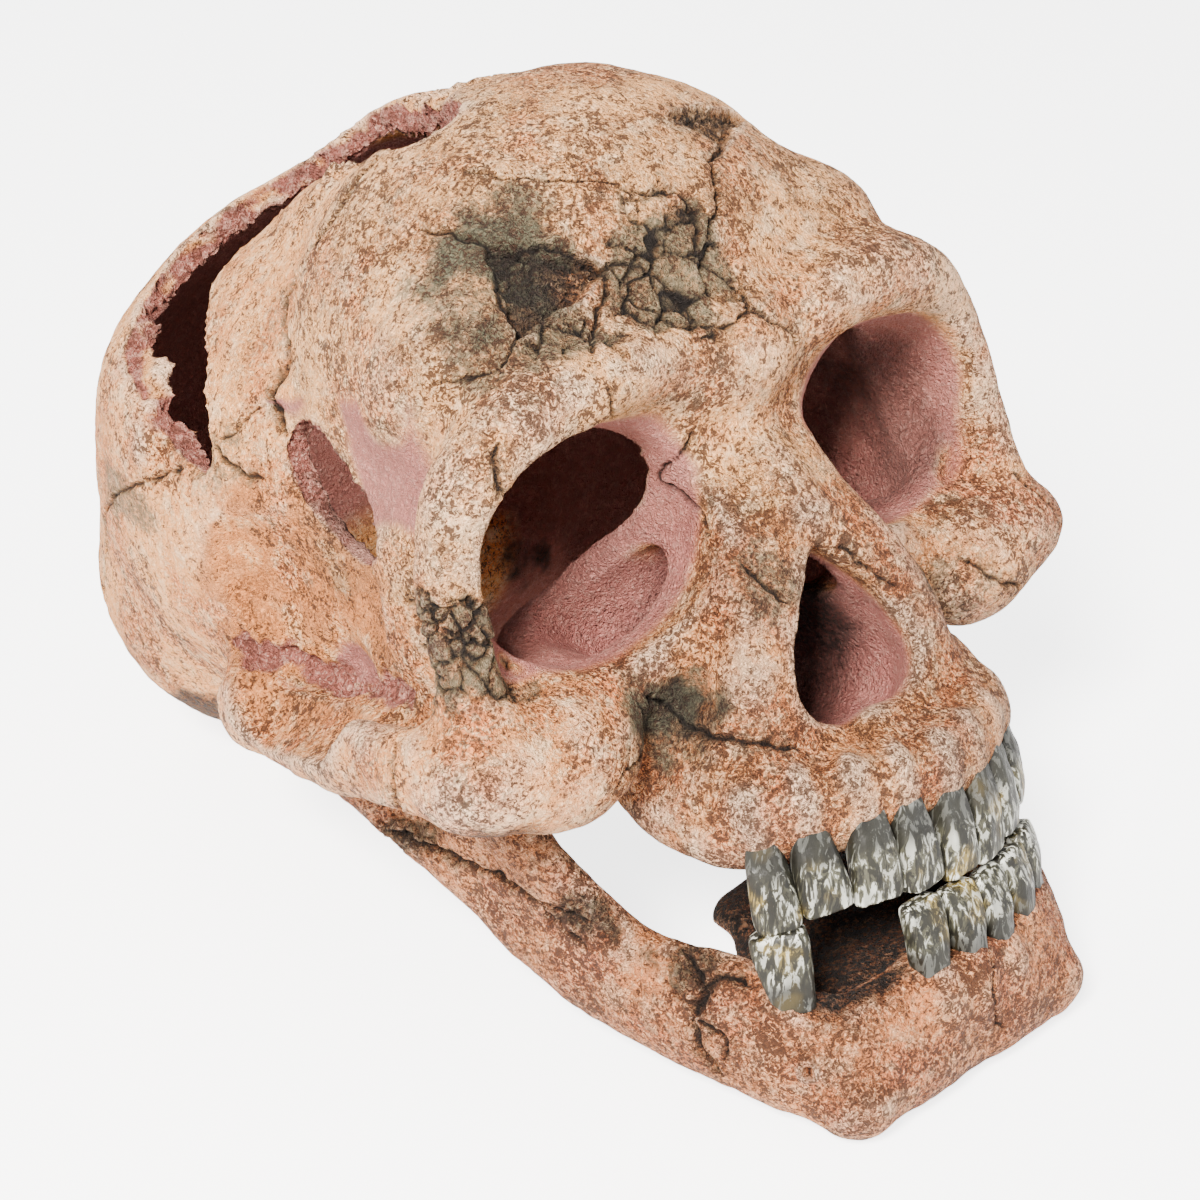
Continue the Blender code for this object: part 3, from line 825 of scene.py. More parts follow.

# Dark patches: painted shade deep in the eye sockets, behind the nose opening, under the back of the head and
# under the right cheekbone; the small ones on the brow and face are dark spots.
SOOT = (
    (Patch((14, -76, 76), (6, 6, 5), 0.4), 0.5),
    (Patch((-30, -86, -16), (6, 8, 6), 0.4), 0.75),
    (Patch((-46, 45, -17), (10, 13, 6), 0.4), 0.95),
    (Patch((46, 45, -17), (10, 13, 6), 0.4), 0.95),
    (Patch((1, -66, -15), (19, 24, 20), 0.15), 0.95),
    (Patch((32, -60, 14), (20, 19, 16), 0.3), 0.9),
    (Patch((44, -66, 12), (19, 15, 18), 0.3), 0.6),
    (Patch((-34, -30, 20), (17, 16, 22), 0.2), 0.75),
    (Patch((26, -92, -10), (5, 6, 5), 0.4), 0.6),
    (Patch((-68, -76, -24), (9, 9, 4), 0.3), 0.7),
)

MOSAICS = (
    (Patch((-9, -87, 57), (12, 9, 14), 0.4), 7.5),
    (Patch((-61, -76, 8), (12, 14, 11), 0.4), 4.6),
    (Patch((-33, -86, 49), (9, 7, 5), 0.5), 5.5),
)

CHIPS = (
    Chip(((-34.5, -73.3, 66.4), (-20.5, -83.6, 59), (-39.4, -82.4, 53.8))),
    Chip(((9.2, -74, 79.2), (30.5, -67.6, 74.6), (15.1, -78.6, 72.1)), 1.3),
)


class Lines:
    """Cracks laid onto a skin, which can be searched by place."""

    cell = 4.0

    def __init__(self, cracks: Sequence[Crack], tree: BVHTree) -> None:
        """Lays the cracks onto the skin that the tree holds."""
        self.rows = np.vstack([crack.laid(tree, 20 + i) for i, crack in enumerate(cracks)])
        self.tree = KDTree(len(self.rows))
        for i, row in enumerate(self.rows):
            self.tree.insert(row[:3], i)
        self.tree.balance()
        around = []
        for step in product((-1, 0, 1), repeat=3):
            around.append(self.code(self.rows[:, :3] + np.array(step) * self.cell))
        self.cells = np.unique(np.concatenate(around))

    def code(self, points: np.ndarray) -> np.ndarray:
        """The number of the cell that each point lies in."""
        cells = np.floor(points / self.cell).astype(np.int64) + 128
        return (cells[:, 0] * 256 + cells[:, 1]) * 256 + cells[:, 2]

    def nearest(self, points: np.ndarray) -> tuple[np.ndarray, np.ndarray]:
        """Finds the nearest crack of each point.

        Args:
            points: Rows of x, y, z.

        Returns:
            How far it is, 9 where there is none near, and the row of the crack there.
        """
        away = np.full(len(points), 9.0)
        index = np.zeros(len(points), int)
        for i in np.flatnonzero(np.isin(self.code(points), self.cells)):
            _, index[i], away[i] = self.tree.find(points[i])
        return np.minimum(away, 9.0), self.rows[index]

    def near(self, points: np.ndarray) -> np.ndarray:
        """Whether each point lies close to a crack."""
        away, rows = self.nearest(points)
        return away < 1.3 + rows[:, 3]

    def press(self, skin: Skin, places: np.ndarray) -> None:
        """Presses the grooves into a skin and marks them.

        Args:
            skin: The skin, changed in place.
            places: Where its vertices lay when the lines were laid.
        """
        away, rows = self.nearest(places)
        width, depth, torn = rows[:, 3:].T
        away = away * (1 - 0.35 * fade(grain(places, 3.0, 17), 0, 0.5))
        across = away / width
        groove = 1 - fade(across, 0.0, 1.25)
        lip = fade(across, 1.0, 2.0) * (1 - fade(across, 2.0, 4.5)) * (away < 4)
        rough = torn * groove * 0.7 * layered(places, 2.2, 2, 31)
        skin.push(-depth * groove + 0.12 * lip * depth + rough)
        dark = groove * np.minimum(1, depth / 0.5)
        skin.add(Mark.CRACK, dark * (1 - torn))
        skin.add(Mark.BROKEN, torn * fade(dark, 0.1, 0.5))
        skin.add(Mark.STAIN, 0.6 * (1 - fade(away, 0.5, 4.0)) * (1 - torn) * np.minimum(1, depth))


def unevenness(skin: Skin) -> None:
    """Gives a skin the broad, soft unevenness of a form modelled by hand."""
    p = skin.places
    wide = 0.5 * layered(p, 14, 2, 5)
    fine = 0.16 * layered(p, 3.6, 2, 8)
    skin.push(wide + fine - 0.35)


def mark_ridges(skin: Skin) -> None:
    """Marks what stands proud of its surroundings, and what lies in a hollow."""
    smooth = skin.softened(skin.places, 12)
    proud = np.einsum("ij,ij->i", skin.places - smooth, skin.normals)
    proud = skin.softened(proud, 1)
    skin.marks[Mark.RIDGE] = fade(proud, 0.05, 0.55)
    skin.marks[Mark.HOLLOW] = fade(-proud, 0.08, 0.7)


class Pieces:
    """Splits a finished skin into named pieces that meet without a gap."""

    def __init__(self, obj: bpy.types.Object, chooser: Callable[[float, float, float], Node]) -> None:
        """Takes the skin and the function that says which node a place belongs to."""
        self.obj = obj
        self.chooser = chooser

    def split(self) -> dict[Node, bpy.types.Object]:
        """Makes one object for each node.

        Returns:
            The objects by node, in the row frame, with the shading normals of the whole skin.
        """
        mesh = self.obj.data
        shading = numbers(mesh.vertex_normals, "vector", 3)
        layer = mesh.attributes.new("shading", "FLOAT_VECTOR", "POINT")
        layer.data.foreach_set("vector", shading.ravel())
        centres = numbers(mesh.polygons, "center", 3)
        owners = [self.chooser(*centre) for centre in centres]
        out = {}
        for node in sorted(set(owners), key=lambda item: item.value):
            bm = bmesh.new()
            bm.from_mesh(mesh)
            bm.faces.ensure_lookup_table()
            others = [face for face, owner in zip(bm.faces, owners) if owner is not node]
            bmesh.ops.delete(bm, geom=others, context="FACES")
            piece_mesh = bpy.data.meshes.new(node.value)
            bm.to_mesh(piece_mesh)
            bm.free()
            out[node] = finished(piece_mesh, node.value + "_skin")
        bpy.data.objects.remove(self.obj)
        return out


def finished(mesh: bpy.types.Mesh, name: str) -> bpy.types.Object:
    """Puts a mesh of the skull's frame in place as a smooth piece.

    Args:
        mesh: The mesh; its own shading normals are kept if it carries them.
        name: Name of the piece.

    Returns:
        The object, in the row frame.
    """
    points = placed(numbers(mesh.vertices, "co", 3))
    points[:, 2] = np.maximum(points[:, 2], 0)
    mesh.vertices.foreach_set("co", points.ravel())
    mesh.update()
    mesh.shade_smooth()
    if "shading" in mesh.attributes:
        normals = np.empty(len(points) * 3)
        mesh.attributes["shading"].data.foreach_get("vector", normals)
        lean = Matrix.Rotation(-math.radians(LEAN_DEG), 3, "X")
        turned = normals.reshape(-1, 3) @ np.array(lean).T
        mesh.attributes.remove(mesh.attributes["shading"])
        mesh.normals_split_custom_set_from_vertices(turned.tolist())
    return linked(name, mesh)


def paint_walls(cranium: Cranium, skin: Skin) -> None:
    """Marks the inside of the hollow, the walls of the openings and the broken edges, which it roughens.

    Args:
        cranium: The sizes of the head.
        skin: Its skin, marked in place.
    """
    p = skin.places
    off = (p - cranium.vault) / cranium.vault_radii
    out = off / cranium.vault_radii
    out /= np.maximum(np.linalg.norm(out, axis=1), 1e-9)[:, None]
    facing = np.einsum("ij,ij->i", skin.normals, out)
    shell = 0.95 + 0.1 * fade(p[:, 1], -30, -10)
    inside = (1 - fade(facing, -0.5, -0.2)) * (1 - fade(np.linalg.norm(off, axis=1) - shell, -0.02, 0.02))
    for side, tall in ((1, cranium.socket_left), (-1, cranium.socket_right)):
        inside = np.maximum(inside, Opening((side * 37, 16), (22.5, tall), -81.5, 2.5, -3.5).walls(skin))
    inside = np.maximum(inside, Opening((0, -12), (13.5, 14), -94.5, 0, 4.2, 1.65).walls(skin))
    x, y, z = p.T
    between = np.abs(x) < 51.5 + 4 * fade(-y, 42, 50)
    inside = np.maximum(inside, fade(y, -71, -66) * (y < -15) * between * (z > -18) * (z < 48))
    skin.add(Mark.INSIDE, skin.softened(inside, 1))
    gap = (p[:, 0] < 5) & (p[:, 2] > 10) & (p[:, 1] > -62) & (p[:, 1] < 42) & (facing < 0.8)
    rough = 1 - fade(distance_to(cranium.breaks_tree, p, 3.0, gap), 0.9, 1.6)
    rough *= 1 - fade(facing, 0.5, 0.75)
    skin.add(Mark.BROKEN, rough)
    border, tone = chunks(p, 2.1, 15)
    skin.push(rough * ((tone - 0.6) * 0.9 - 0.7 * (1 - fade(border, 0, 0.3))))


def dress_cranium(cranium: Cranium, obj: bpy.types.Object) -> dict[Node, bpy.types.Object]:
    """Gives the cranium its cracks, stains, paints and broken edges.

    Args:
        cranium: The sizes and masses of the head.
        obj: Its cast, which is used up.

    Returns:
        The pieces by node.
    """
    lines = Lines(CRANIUM_CRACKS, tree_of(obj))

    def near_detail(points: np.ndarray) -> np.ndarray:
        areas = [patch.over(points) > 0.2 for patch, _ in MOSAICS]
        areas += [chip.over(points, 2.0) > 0.05 for chip in CHIPS]
        x, y, z = points.T
        crumbs = (x < 0) & (z > 30) & (y > -50) & (y < 34)
        crumbs = distance_to(cranium.breaks_tree, points, 2.0, crumbs) < 1.0
        return lines.near(points) | crumbs | np.any(areas, axis=0)

    refine(obj, near_detail, 1)
    refine(obj, lines.near, 1)
    log.info("cranium refined: %d faces", len(obj.data.polygons))
    skin = Skin(obj)
    laid = skin.places
    paint_walls(cranium, skin)
    outside = 1 - np.maximum(skin.marks[Mark.INSIDE], skin.marks[Mark.BROKEN])
    p = skin.places
    for patch, amount in STAINS:
        skin.add(Mark.STAIN, amount * patch.over(p, 0.5))
    for patch, amount in SOOT:
        skin.add(Mark.SOOT, amount * patch.over(p, 0.25))
    for side in SIDES:
        temple = Patch((side * 58, -24, 10), (13, 30, 27), 0.12).over(p, 0.12)
        skin.add(Mark.OCHRE, temple * fade(skin.normals[:, 0] * side, 0.3, 0.7) * outside)
    # Painted shade on the downward-facing palate inside the mouth.
    palate = (p[:, 2] < -26) & (p[:, 1] > -97) & (np.abs(p[:, 0]) < 28)
    skin.add(Mark.SOOT, 0.9 * palate * fade(-skin.normals[:, 2], 0.2, 0.6))
    unevenness(skin)
    for i, (patch, size) in enumerate(MOSAICS):
        amount = patch.over(p, 0.2) * outside
        border, tone = chunks(p + 0.8 * np.stack([grain(p, 3.0, 90 + j) for j in range(3)], 1), size, 40 + i)
        groove = 1 - fade(border, 0.05, 0.4)
        skin.push(amount * ((tone - 0.7) * 1.1 - 0.8 * groove))
        skin.add(Mark.CRACK, amount * groove)
        skin.add(Mark.STAIN, 0.9 * amount)
    for chip in CHIPS:
        sunk = chip.over(p)
        border, tone = chunks(p, 1.9, 47)
        rough = tone - 0.5 - 0.6 * (1 - fade(border, 0, 0.3)) + 0.4 * layered(p, 1.6, 2, 9)
        skin.push(sunk * (rough - chip.depth))
        # Painted shade in the sunken chips, darkest where they lie lowest.
        skin.add(Mark.SOOT, sunk * (0.9 - 0.5 * fade(rough, 0, 0.6)))
    lines.press(skin, laid)
    mark_ridges(skin)
    skin.write()
    pieces = Pieces(obj, cranium.node_at).split()
    for node, piece in pieces.items():
        log.info("%s: %d faces", node.value, len(piece.data.polygons))
    return pieces


@dataclass
class LowerJaw:
    """The lower jaw: square chin, deep body and slanted branches that reach up under the arches."""

    voxel: float = 0.9
    seam: float = 0.35
    foramen: Point = (-33.1, -99.7, -77.3)
    necks: tuple[Point, ...] = ()
    rough: tuple[Patch, ...] = (
        Patch((-39, -82, -58), (6, 7, 6)),
        Patch((-46, -67, -47), (5, 8, 5)),
        Patch((-53, -30, -33), (5, 9, 4)),
    )
    cracks: tuple[Crack, ...] = (
        Crack(((-37, -80, -54), (-39.3, -84.5, -61.6), (-41, -82, -66.8), (-40.5, -82, -72.7),
               (-39.5, -84, -79)), 0.9, 1.6),
        Crack(((-39.3, -84.5, -61.6), (-36, -88, -60), (-34, -92, -63)), 0.8, 1.3),
        Crack(((-41, -82, -66.8), (-38, -87, -70), (-39, -86, -76)), 0.5, 0.9),
        Crack(((-54, -24, -31), (-52.8, -35, -35.7), (-49.8, -50, -41), (-48.6, -58, -45.3), (-46, -67, -49)),
              0.8, 1.2),
        Crack(((-48.6, -58, -45.3), (-47, -60, -50), (-45, -66, -54)), 0.6, 1.0),
        Crack(((38, -84, -62), (40, -78, -70), (39, -80, -82)), 0.5, 0.8),
        Crack(((52, -30, -40), (49, -44, -48), (46, -50, -58)), 0.45, 0.8),
        Crack(((4, -108, -68), (2, -109, -78), (6, -108, -88)), 0.4, 0.6),
    )

    def masses(self) -> Clay:
        """The body, its branches and the chin."""
        clay = Clay()
        body = [(0, -101, -80, 8, 7, 13.5), (14, -102, -80, 8, 7, 13.5), (26, -98, -78.5, 7, 7, 13.5)]
        body += [(34, -84, -70, 6, 8, 14.5), (39, -66, -63.5, 6, 8, 12.5), (42, -53, -57.5, 6, 8, 12)]
        rear_edge = [(42, -50, -58, 5, 8, 9), (47, -36, -41, 5, 8, 8), (53, -18, -21, 6, 8, 8)]
        front_edge = [(41, -66, -55, 5, 8, 9), (46, -57.5, -39, 4, 8, 8), (50, -50, -23, 4, 8, 8)]
        middle = [(41, -57, -57, 4, 10, 9), (46, -47, -41, 4, 10, 9), (50, -35, -25, 4, 9, 8)]
        for side in SIDES:
            for stations in (body, rear_edge, front_edge, middle):
                clay.roll(stations, 5, side)
            clay.ball((side * 24, -99, -86), (9, 9, 8))
        clay.ball((0, -84, -77), (34, 18, 8))
        clay.ball((9, -66, -71.5), (24, 15, 5))
        clay.ball((12, -55, -67.5), (22, 13, 4.5))
        for x, y, z in self.necks:
            clay.ball((x, y, z - 6.5), (4.3, 4.1, 8.2), 16, 12)
        return clay

    def build(self, clearance: bpy.types.Object) -> bpy.types.Object:
        """Builds the jaw, kept clear of the cranium.

        Args:
            clearance: The cranium's skin moved out by the seam, in the skull's frame; it is used up.

        Returns:
            The piece, in the row frame.
        """
        jaw = self.masses().melted("lower_jaw", 4)
        cut(jaw, clearance)
        fuse(jaw, 1, self.voxel)
        drop_crumbs(jaw)
        lines = Lines(self.cracks, tree_of(jaw))
        refine(jaw, lines.near, 2)
        skin = Skin(jaw)
        p = skin.places
        x, y, _ = p.T
        for patch in self.rough:
            rotten = patch.over(p, 0.4)
            border, tone = chunks(p, 2.4, 52)
            skin.push(rotten * (0.9 * (tone - 0.7) - 0.8 * (1 - fade(border, 0, 0.35))))
            skin.add(Mark.STAIN, 0.8 * rotten)
            # Painted shade in the crevices between the crumbled lumps.
            skin.add(Mark.SOOT, 0.5 * rotten * (1 - fade(border, 0.1, 0.5)))
        # Painted shade with dark paint on the floor of the mouth behind the front teeth.
        mouth = 1 - fade(np.hypot(x / 34, (y + 66) / 34), 0.92, 1.04)
        mouth *= fade(skin.normals[:, 2] - skin.normals[:, 1] * 0.5, -0.3, 0.2)
        skin.add(Mark.SOOT, mouth)
        socket = Patch((-20, -102, -65), (12, 6, 5), 0.3).over(p, 0.3)
        skin.push(socket * (0.9 * layered(p, 2.6, 2, 53) - 0.8))
        # Dark paint and painted shade on the floor of the empty tooth socket.
        skin.add(Mark.SOOT, socket * fade(skin.normals[:, 2], 0.2, 0.7))
        unevenness(skin)
        hole = np.linalg.norm(p - self.foramen, axis=1)
        skin.push(0.8 * (fade(hole, 0.7, 1.4) - fade(hole, 1.7, 2.7)) - (1 - fade(hole, 0.4, 1.0)))
        skin.add(Mark.CRACK, 0.8 * (1 - fade(hole, 0.5, 1.1)))
        lines.press(skin, p)
        mark_ridges(skin)
        skin.write()
        piece = finished(jaw.data, Node.LOWER_JAW.value + "_skin")
        bpy.data.objects.remove(jaw)
        return piece


@dataclass(frozen=True)
class Tooth:
    """One crown on the arch; heights are those of its biting edge and its neck."""

    angle: float
    width: float
    edge: float
    neck: float
    blunt: float = 0.5
    lean: float = 0.0


@dataclass
class ToothRow:
    """A row of crowns along half an ellipse."""

    name: str
    teeth: tuple[Tooth, ...]
    arch_x: float = 37.0
    arch_y: float = 25.0
    arch_back: float = -82.0
    depth: float = 6.4
    root: float = 4.0
    neck_out: float = 0.7
    rings: int = 16
    sectors: int = 28

    def necks(self) -> tuple[Point, ...]:
        """Where each crown leaves the bone."""
        turns = [(math.radians(tooth.angle), tooth.neck) for tooth in self.teeth]
        wide, deep = self.arch_x + self.neck_out, self.arch_y + self.neck_out
        return tuple((wide * math.sin(a), self.arch_back - deep * math.cos(a), neck) for a, neck in turns)

    def crown(self, tooth: Tooth, seed: int) -> tuple[np.ndarray, list[tuple[int, ...]]]:
        """Makes one crown as rings from the biting edge to the root.

        Args:
            tooth: The tooth.
            seed: Picks its own unevenness.

        Returns:
            Its points in the skull's frame, and its faces.
        """
        angle = math.radians(tooth.angle)
        centre = np.array((self.arch_x * math.sin(angle), self.arch_back - self.arch_y * math.cos(angle)))
        out = np.array((math.sin(angle) / self.arch_x, -math.cos(angle) / self.arch_y))
        out /= np.linalg.norm(out)
        side = np.array((-out[1], out[0]))
        up = math.copysign(1, tooth.neck - tooth.edge)
        height = abs(tooth.neck - tooth.edge)
        rings, sectors = self.rings, self.sectors
        points = []
        for i in range(rings + 1):
            t = i / rings
            rise = t * (height + self.root)
            share = rise / height
            wide = tooth.width * (1 - 0.22 * share**1.5) * (0.88 + 0.12 * min(1, share * 4) ** 0.6)
            thick = self.depth * (tooth.blunt + (1 - tooth.blunt) * min(1, share * 1.1) ** 0.7)
            bulge = 0.5 * math.sin(min(1, share) * math.pi) - 0.9 * max(0, share - 0.85)
            for j in range(sectors):
                a = 2 * math.pi * j / sectors
                u = math.copysign(abs(math.cos(a)) ** 0.65, math.cos(a)) * wide / 2
                v = math.copysign(abs(math.sin(a)) ** 0.7, math.sin(a)) * thick / 2 + bulge
                place = centre + side * (u + tooth.lean * rise) + out * v
                points.append((place[0], place[1], tooth.edge + up * rise))
        points.append((centre[0], centre[1], tooth.edge - up * 0.1))
        top = centre - out
        points.append((top[0], top[1], tooth.edge + up * (height + self.root)))
        faces: list[tuple[int, ...]] = []
        for j in range(sectors):
            k = (j + 1) % sectors
            faces.append((len(points) - 2, k, j))
            faces.append((len(points) - 1, rings * sectors + j, rings * sectors + k))
            for i in range(rings):
                a = i * sectors
                faces.append((a + j, a + k, a + sectors + k, a + sectors + j))
        moved = np.array(points)
        uneven = 0.3 * layered(moved, 3.0, 2, seed)
        groove = 0.22 * np.sin(moved @ np.array((*side, 0)) * 2.4 + seed)
        outward = np.array((*out, 0))
        front = ((moved[:, :2] - centre) @ out > 0)[:, None]
        moved = moved + outward * (uneven + groove)[:, None] * front
        moved[:, 2] += 0.5 * grain(moved, 2.6, seed + 2)
        return moved, faces

    def build(self) -> bpy.types.Object:
        """Builds the row as one piece, in the row frame."""
        clay = Clay()
        for i, tooth in enumerate(self.teeth):
            clay.add(*self.crown(tooth, 70 + i))
        obj = clay.raw(self.name + "_crowns")
        bm = bmesh.new()
        bm.from_mesh(obj.data)
        bmesh.ops.recalc_face_normals(bm, faces=bm.faces)
        bm.to_mesh(obj.data)
        bm.free()
        smoother = obj.modifiers.new("finer", "SUBSURF")
        smoother.levels = 1
        smoother.render_levels = 1
        heights = obj.data.attributes.new("rise", "FLOAT", "POINT")
        levels = np.repeat(np.arange(self.rings + 1) / self.rings, self.sectors)
        heights.data.foreach_set("value", np.tile(np.append(levels, (0, 1)), len(self.teeth)))
        apply_all(obj)
        skin = Skin(obj)
        mark_ridges(skin)
        skin.write()
        piece = finished(obj.data, self.name)
        bpy.data.objects.remove(obj)
        return piece


def group_socket(tree: bpy.types.NodeTree, name: str, kind: str, value: float | tuple) -> None:
    """Adds one named input to a node group, with its starting value."""
    socket = tree.interface.new_socket(name, in_out="INPUT", socket_type="NodeSocket" + kind)
    socket.default_value = value


class Wiring:
    """Places and joins shader nodes in one tree."""

    def __init__(self, tree: bpy.types.NodeTree) -> None:
        """Takes the tree."""
        self.tree = tree

    def node(self, kind: str, **settings: object) -> bpy.types.Node:
        """Adds a node and sets its options."""
        node = self.tree.nodes.new("ShaderNode" + kind)
        for key, value in settings.items():
            setattr(node, key, value)
        return node

    def put(self, socket: bpy.types.NodeSocket, value: object) -> None:
        """Joins a socket to another one, or gives it a plain value."""
        if isinstance(value, bpy.types.NodeSocket):
            self.tree.links.new(value, socket)
        else:
            socket.default_value = value

    def math(self, operation: str, a: object, b: object = 0.0, clamp: bool = False) -> bpy.types.NodeSocket:
        """Joins two numbers by a sum, product or the like."""
        node = self.node("Math", operation=operation, use_clamp=clamp)
        self.put(node.inputs[0], a)
        self.put(node.inputs[1], b)
        return node.outputs[0]

    def ramp(
        self, value: object, low: float, high: float, start: float = 0.0, end: float = 1.0
    ) -> bpy.types.NodeSocket:
        """Maps a number smoothly from one range to another."""
        node = self.node("MapRange", interpolation_type="SMOOTHSTEP")
        for name, given in (("From Min", low), ("From Max", high), ("To Min", start), ("To Max", end)):
            node.inputs[name].default_value = given
        self.put(node.inputs["Value"], value)
        return node.outputs[0]

    def mix(self, amount: object, a: object, b: object) -> bpy.types.NodeSocket:
        """Mixes two colours."""
        node = self.node("Mix", data_type="RGBA")
        self.put(node.inputs["Factor"], amount)
        for socket, value in ((node.inputs[6], a), (node.inputs[7], b)):
            self.put(socket, (*value, 1) if isinstance(value, tuple) and len(value) == 3 else value)
        return node.outputs[2]

    def noise(
        self, place: object, scale: float, detail: float = 3.0, rough: float = 0.55, bend: float = 0.0
    ) -> bpy.types.NodeSocket:
        """Soft noise from 0 to 1."""
        node = self.node("TexNoise")
        self.put(node.inputs["Vector"], place)
        node.inputs["Scale"].default_value = scale
        node.inputs["Detail"].default_value = detail
        node.inputs["Roughness"].default_value = rough
        node.inputs["Distortion"].default_value = bend
        return node.outputs[0]

    def attribute(self, name: str) -> bpy.types.NodeSocket:
        """A number that the mesh carries at its vertices."""
        return self.node("Attribute", attribute_name=name).outputs["Fac"]

    def times(self, a: object, b: object, clamp: bool = False) -> bpy.types.NodeSocket:
        """Multiplies two numbers."""
        return self.math("MULTIPLY", a, b, clamp)

    def here(self) -> bpy.types.NodeSocket:
        """The place of each point on its object."""
        return self.node("TexCoord").outputs["Object"]

    def bump(self, shader: bpy.types.Node, height: object, strength: float, distance: float) -> None:
        """Bumps the surface of a shader by a height; the distance is in metres."""
        bump = self.node("Bump")
        bump.inputs["Strength"].default_value = strength
        bump.inputs["Distance"].default_value = distance
        self.put(bump.inputs["Height"], height)
        self.put(shader.inputs["Normal"], bump.outputs[0])


def new_material(name: str) -> tuple[bpy.types.Material, Wiring, bpy.types.Node]:
    """Makes a material, and returns it with its wiring and its main shader."""
    made = bpy.data.materials.new(name)
    made.use_nodes = True
    return made, Wiring(made.node_tree), made.node_tree.nodes["Principled BSDF"]


class Effects:
    """The shader node groups that several finishes share."""

    def __init__(self) -> None:
        """Builds each group once."""
        self.pitting = self.make_pitting()
        self.mottle = self.make_mottle()
        self.relief = self.make_relief()

    def start(self, name: str, outputs: Sequence[tuple[str, str]]) -> tuple[bpy.types.NodeTree, Wiring]:
        """Starts a group with its outputs."""
        tree = bpy.data.node_groups.new(name, "ShaderNodeTree")
        for label, kind in outputs:
            tree.interface.new_socket(label, in_out="OUTPUT", socket_type="NodeSocket" + kind)
        return tree, Wiring(tree)

    def make_pitting(self) -> bpy.types.NodeTree:
        """Fine pits and worm-like grain in drifting patches: a mask of pits, and a height."""
        tree, w = self.start("pitting", (("Pits", "Float"), ("Height", "Float")))
        group_socket(tree, "Spacing", "Float", 1.1)
        group_socket(tree, "Cover", "Float", 0.5)
        source = w.here()
        given = tree.nodes.new("NodeGroupInput")
        scaled = w.node("VectorMath", operation="SCALE")
        w.put(scaled.inputs[0], source)
        w.put(scaled.inputs["Scale"], w.math("DIVIDE", 1000.0, given.outputs["Spacing"]))
        place = scaled.outputs[0]
        bend = w.node("TexNoise")
        w.put(bend.inputs["Vector"], place)
        bend.inputs["Scale"].default_value = 0.7
        warped = w.node("VectorMath", operation="ADD")
        w.put(warped.inputs[0], place)
        w.put(warped.inputs[1], bend.outputs["Color"])
        cells = w.node("TexVoronoi", feature="F1")
        w.put(cells.inputs["Vector"], warped.outputs[0])
        cells.inputs["Scale"].default_value = 1.0
        dots = w.ramp(cells.outputs["Distance"], 0.18, 0.42, 1.0, 0.0)
        worms = w.noise(warped.outputs[0], 0.85, 2.0, 0.5)
        lines = w.ramp(w.math("ABSOLUTE", w.math("SUBTRACT", worms, 0.5)), 0.0, 0.045, 1.0, 0.0)
        patches = w.noise(place, 0.06, 3.0, 0.6)
        cover = w.math("SUBTRACT", w.math("ADD", patches, given.outputs["Cover"]), 0.5)
        where = w.ramp(cover, 0.36, 0.62)
        pits = w.times(w.math("MAXIMUM", dots, w.times(lines, 0.85)), where, True)
        height = w.math("SUBTRACT", w.times(w.noise(place, 0.5, 3.0), 0.5), pits)
        out = tree.nodes.new("NodeGroupOutput")
        w.put(out.inputs["Pits"], pits)
        w.put(out.inputs["Height"], height)
        return tree

    def make_relief(self) -> bpy.types.NodeTree:
        """A rough, crumpled surface: its height, what stands proud of it and what lies deep."""
        tree, w = self.start("relief", (("Height", "Float"), ("Proud", "Float"), ("Deep", "Float")))
        group_socket(tree, "Cover", "Float", 0.5)
        given = tree.nodes.new("NodeGroupInput")
        source = w.here()
        wide = w.noise(source, 380.0, 3.0, 0.6, 1.0)
        fine = w.noise(source, 1050.0, 3.0, 0.65, 1.3)
        height = w.math("ADD", w.times(wide, 0.4), w.times(fine, 0.6))
        drift = w.times(w.math("SUBTRACT", w.noise(source, 60.0, 3.0, 0.6), 0.5), 0.28)
        drift = w.math("ADD", drift, w.times(w.math("SUBTRACT", given.outputs["Cover"], 0.5), 0.2))
        lowered = w.math("SUBTRACT", height, drift)
        out = tree.nodes.new("NodeGroupOutput")
        w.put(out.inputs["Height"], height)
        w.put(out.inputs["Proud"], w.ramp(height, 0.51, 0.58))
        w.put(out.inputs["Deep"], w.ramp(lowered, 0.44, 0.485, 1.0, 0.0))
        return tree

    def make_mottle(self) -> bpy.types.NodeTree:
        """Three paints sponged over each other in soft clouds."""
        tree, w = self.start("mottle", (("Color", "Color"),))
        paints = {"Base": (0.7, 0.4, 0.2, 1), "Warm": (0.7, 0.3, 0.2, 1), "Pale": (0.9, 0.8, 0.6, 1)}
        for name, colour in paints.items():
            group_socket(tree, name, "Color", colour)
        given = tree.nodes.new("NodeGroupInput")
        source = w.here()
        clouds = w.ramp(w.noise(source, 55.0, 4.0, 0.6), 0.42, 0.66)
        flecks = w.ramp(w.noise(source, 210.0, 4.0, 0.65), 0.5, 0.68)
        first = w.mix(clouds, given.outputs["Base"], given.outputs["Warm"])
        second = w.mix(w.times(flecks, 0.75), first, given.outputs["Pale"])
        out = tree.nodes.new("NodeGroupOutput")
        w.put(out.inputs["Color"], second)
        return tree


